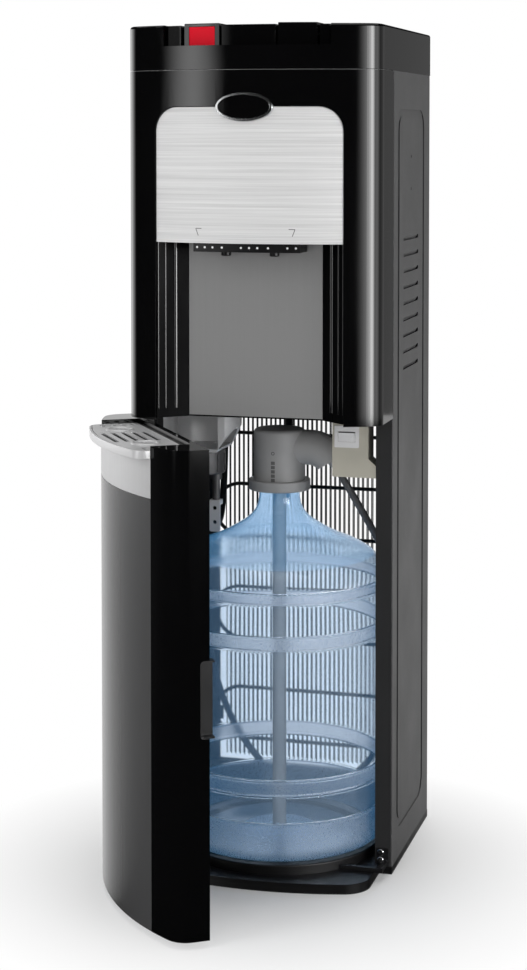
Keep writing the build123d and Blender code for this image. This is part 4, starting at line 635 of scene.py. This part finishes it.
def makeHose(s):
    start = Vector(s["start"]) + Vector(s["way"]) * s["stub"]
    first = start + Vector(s["way"]) * s["lead"]
    points = [start, first] + [Vector(p) for p in s["points"]]
    data = bpy.data.curves.new("waterHoseLine", "CURVE")
    data.dimensions = "3D"
    data.bevel_depth = s["radius"] * mm
    data.bevel_resolution = s["stepsRound"]
    data.resolution_u = s["stepsAlong"]
    data.use_fill_caps = True
    spline = data.splines.new("NURBS")
    spline.points.add(len(points) - 1)
    for point, place in zip(spline.points, points):
        point.co = (*(place * mm), 1)
    spline.order_u = 3
    spline.use_endpoint_u = True
    data.materials.append(paints["hoseGrey"])
    obj = bpy.data.objects.new("waterHoseLine", data)
    bpy.context.scene.collection.objects.link(obj)
    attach(obj, "cabinet")
    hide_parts("water_hose")


makeHose(hoseRoute)
print("bottle and hose made")


# studio, in metres: a pale floor that fades into the white background, and soft lamps
studio = {"floorRadius": 9.0, "floorSides": 96, "floorColor": 0.86, "fadeFrom": 0.12, "fadeTo": 0.42,
          "worldLight": 0.42, "white": 1.0}
# a dark surround that only reflections see, a wall and its foot, with upright bands of light round it:
# each has its middle, half width and soft edge in degrees from the front, and its strength
surround = {"radius": 4.2, "sides": 128, "low": 0.0015, "high": 5.0, "dark": 0.012, "bandFall": 2.2,
            "bandFadeFrom": 1.35, "bandFadeTo": 1.7}
wallBands = {"centre": (0, 0, 0),
             "bands": ((-38, 0.5, 15, 4.6), (42, 6, 6, 8.0), (62, 3, 17, 19.0), (88, 4, 22, 3.0),
                       (130, 24, 20, 0.4), (-150, 26, 25, 0.9), (-108, 8, 26, 2.6))}
footBands = {"centre": (-0.1, -0.2, 0), "bands": ((-162, 6, 75, 1.15),)}


def seenDirectly(mat):
    # 1 for camera, glossy and transmission rays, and 0 for the rays that carry light
    path = addNode(mat, "ShaderNodeLightPath")
    seen = path.outputs["Is Camera Ray"]
    for kind in ("Is Glossy Ray", "Is Transmission Ray"):
        seen = mathOf(mat, "MAXIMUM", seen, path.outputs[kind])
    return seen


def makeWorld(s):
    world = bpy.data.worlds.new("studioWorld")
    bpy.context.scene.world = world
    world.use_nodes = True
    world.node_tree.nodes.clear()
    skies = []
    for strength in (s["worldLight"], s["white"]):
        sky = addNode(world, "ShaderNodeBackground")
        sky.inputs["Color"].default_value = (1, 1, 1, 1)
        sky.inputs["Strength"].default_value = strength
        skies.append(sky.outputs[0])
    output = addNode(world, "ShaderNodeOutputWorld")
    link(world, mixShaders(world, seenDirectly(world), *skies), output.inputs["Surface"])


def emptyMaterial(name):
    mat = bpy.data.materials.new(name)
    mat.use_nodes = True
    mat.node_tree.nodes.clear()
    return mat


def surfaceFrom(mat, shader):
    link(mat, shader, addNode(mat, "ShaderNodeOutputMaterial").inputs["Surface"])


def vectorOf(mat, operation, vector, other=None):
    node = addNode(mat, "ShaderNodeVectorMath", operation=operation)
    link(mat, vector, node.inputs[0])
    if other:
        node.inputs[1].default_value = other
    return node.outputs["Value" if operation == "LENGTH" else "Vector"]


def axesOf(mat, vector):
    parts = addNode(mat, "ShaderNodeSeparateXYZ")
    link(mat, vector, parts.inputs[0])
    return parts.outputs


def toStage(bm, name, mat):
    mesh = bpy.data.meshes.new(name)
    bm.to_mesh(mesh)
    bm.free()
    mesh.materials.append(mat)
    obj = bpy.data.objects.new(name, mesh)
    bpy.context.scene.collection.objects.link(obj)
    return obj


def makeFloor(s):
    mat = emptyMaterial("studioFloor")
    matt = addNode(mat, "ShaderNodeBsdfDiffuse")
    matt.inputs["Color"].default_value = (s["floorColor"],) * 3 + (1,)
    white = addNode(mat, "ShaderNodeEmission")
    white.inputs["Strength"].default_value = s["white"]
    # the fade goes by the distance from the object
    reach = vectorOf(mat, "LENGTH", addNode(mat, "ShaderNodeTexCoord").outputs["Object"])
    fade = rangeOf(mat, reach, 0.0, 1.0, s["fadeFrom"], s["fadeTo"])
    share = mathOf(mat, "MULTIPLY", fade, seenDirectly(mat))
    surfaceFrom(mat, mixShaders(mat, share, matt.outputs[0], white.outputs[0]))
    bm = bmesh.new()
    bmesh.ops.create_circle(bm, cap_ends=True, radius=s["floorRadius"], segments=s["floorSides"])
    toStage(bm, "studioFloor", mat)


def surroundPaint(name, s, lit):
    mat = emptyMaterial(name)
    place = addNode(mat, "ShaderNodeTexCoord").outputs["Object"]
    level = vectorOf(mat, "MULTIPLY", vectorOf(mat, "SUBTRACT", place, lit["centre"]), (1, 1, 0))
    way = axesOf(mat, vectorOf(mat, "NORMALIZE", level))
    gate = rangeOf(mat, axesOf(mat, place)["Z"], 1.0, 0.0, s["bandFadeFrom"], s["bandFadeTo"])
    total = s["dark"]
    for middle, half, soft, strength in lit["bands"]:
        # the cosine of the angle from the band's middle
        side = mathOf(mat, "MULTIPLY", way["X"], sin(radians(middle)))
        front = mathOf(mat, "MULTIPLY_ADD", way["Y"], -cos(radians(middle)), side)
        near, far = cos(radians(half)), cos(radians(half + soft))
        fall = mathOf(mat, "POWER", rangeOf(mat, front, 0.0, 1.0, far, near), s["bandFall"])
        total = mathOf(mat, "MULTIPLY_ADD", mathOf(mat, "MULTIPLY", fall, gate), strength, total)
    # frosted and milky plastic still sees white through itself
    through = addNode(mat, "ShaderNodeLightPath").outputs["Is Transmission Ray"]
    glow = addNode(mat, "ShaderNodeEmission")
    link(mat, mathOf(mat, "MAXIMUM", total, through), glow.inputs["Strength"])
    surfaceFrom(mat, glow.outputs[0])
    return mat


def makeWall(s, lit):
    bm = bmesh.new()
    bmesh.ops.create_cone(bm, cap_ends=False, segments=s["sides"], radius1=s["radius"], radius2=s["radius"],
                          depth=s["high"] - s["low"])
    bmesh.ops.translate(bm, verts=bm.verts, vec=(0, 0, (s["high"] + s["low"]) / 2))
    return toStage(bm, "studioWall", surroundPaint("studioWall", s, lit))


def makeFoot(s, lit):
    # a disc just above the floor, so that no reflection has the pale floor in it
    bm = bmesh.new()
    bmesh.ops.create_circle(bm, cap_ends=True, segments=s["sides"], radius=s["radius"])
    bmesh.ops.translate(bm, verts=bm.verts, vec=(0, 0, s["low"]))
    return toStage(bm, "studioFoot", surroundPaint("studioFoot", s, lit))


def showInReflectionsOnly(obj):
    for rays in ("camera", "diffuse", "transmission", "shadow", "volume_scatter"):
        setattr(obj, "visible_" + rays, False)


lamps = {
    "keyLamp": {"place": (-2.2, -2.6, 2.4), "size": (1.6, 2.2), "power": 34},
    "fillLamp": {"place": (2.8, -1.6, 1.6), "size": (1.4, 2.2), "power": 9},
    "frontLamp": {"place": (-0.1, -2.6, 0.7), "size": (1.2, 1.2), "power": 13},
    "topLamp": {"place": (0.2, -0.4, 3.2), "size": (2.0, 2.0), "power": 26},
    "backLamp": {"place": (0.0, 2.8, 2.0), "size": (2.2, 2.0), "power": 26},
}
lampAim = (0, 0, 0.5)


def makeLamp(name, s):
    data = bpy.data.lights.new(name, "AREA")
    data.shape = "RECTANGLE"
    data.size, data.size_y = s["size"]
    data.energy = s["power"]
    lamp = bpy.data.objects.new(name, data)
    bpy.context.scene.collection.objects.link(lamp)
    lamp.visible_glossy = False  # the surround's bands make the reflections
    lamp.location = s["place"]
    lamp.rotation_mode = "QUATERNION"
    lamp.rotation_quaternion = (Vector(lampAim) - Vector(s["place"])).to_track_quat("-Z", "Y")


makeWorld(studio)
makeFloor(studio)
showInReflectionsOnly(makeWall(surround, wallBands))
showInReflectionsOnly(makeFoot(surround, footBands))
for lampName, lampSetup in lamps.items():
    makeLamp(lampName, lampSetup)
bpy.context.scene.view_settings.view_transform = "Standard"
print("studio made")
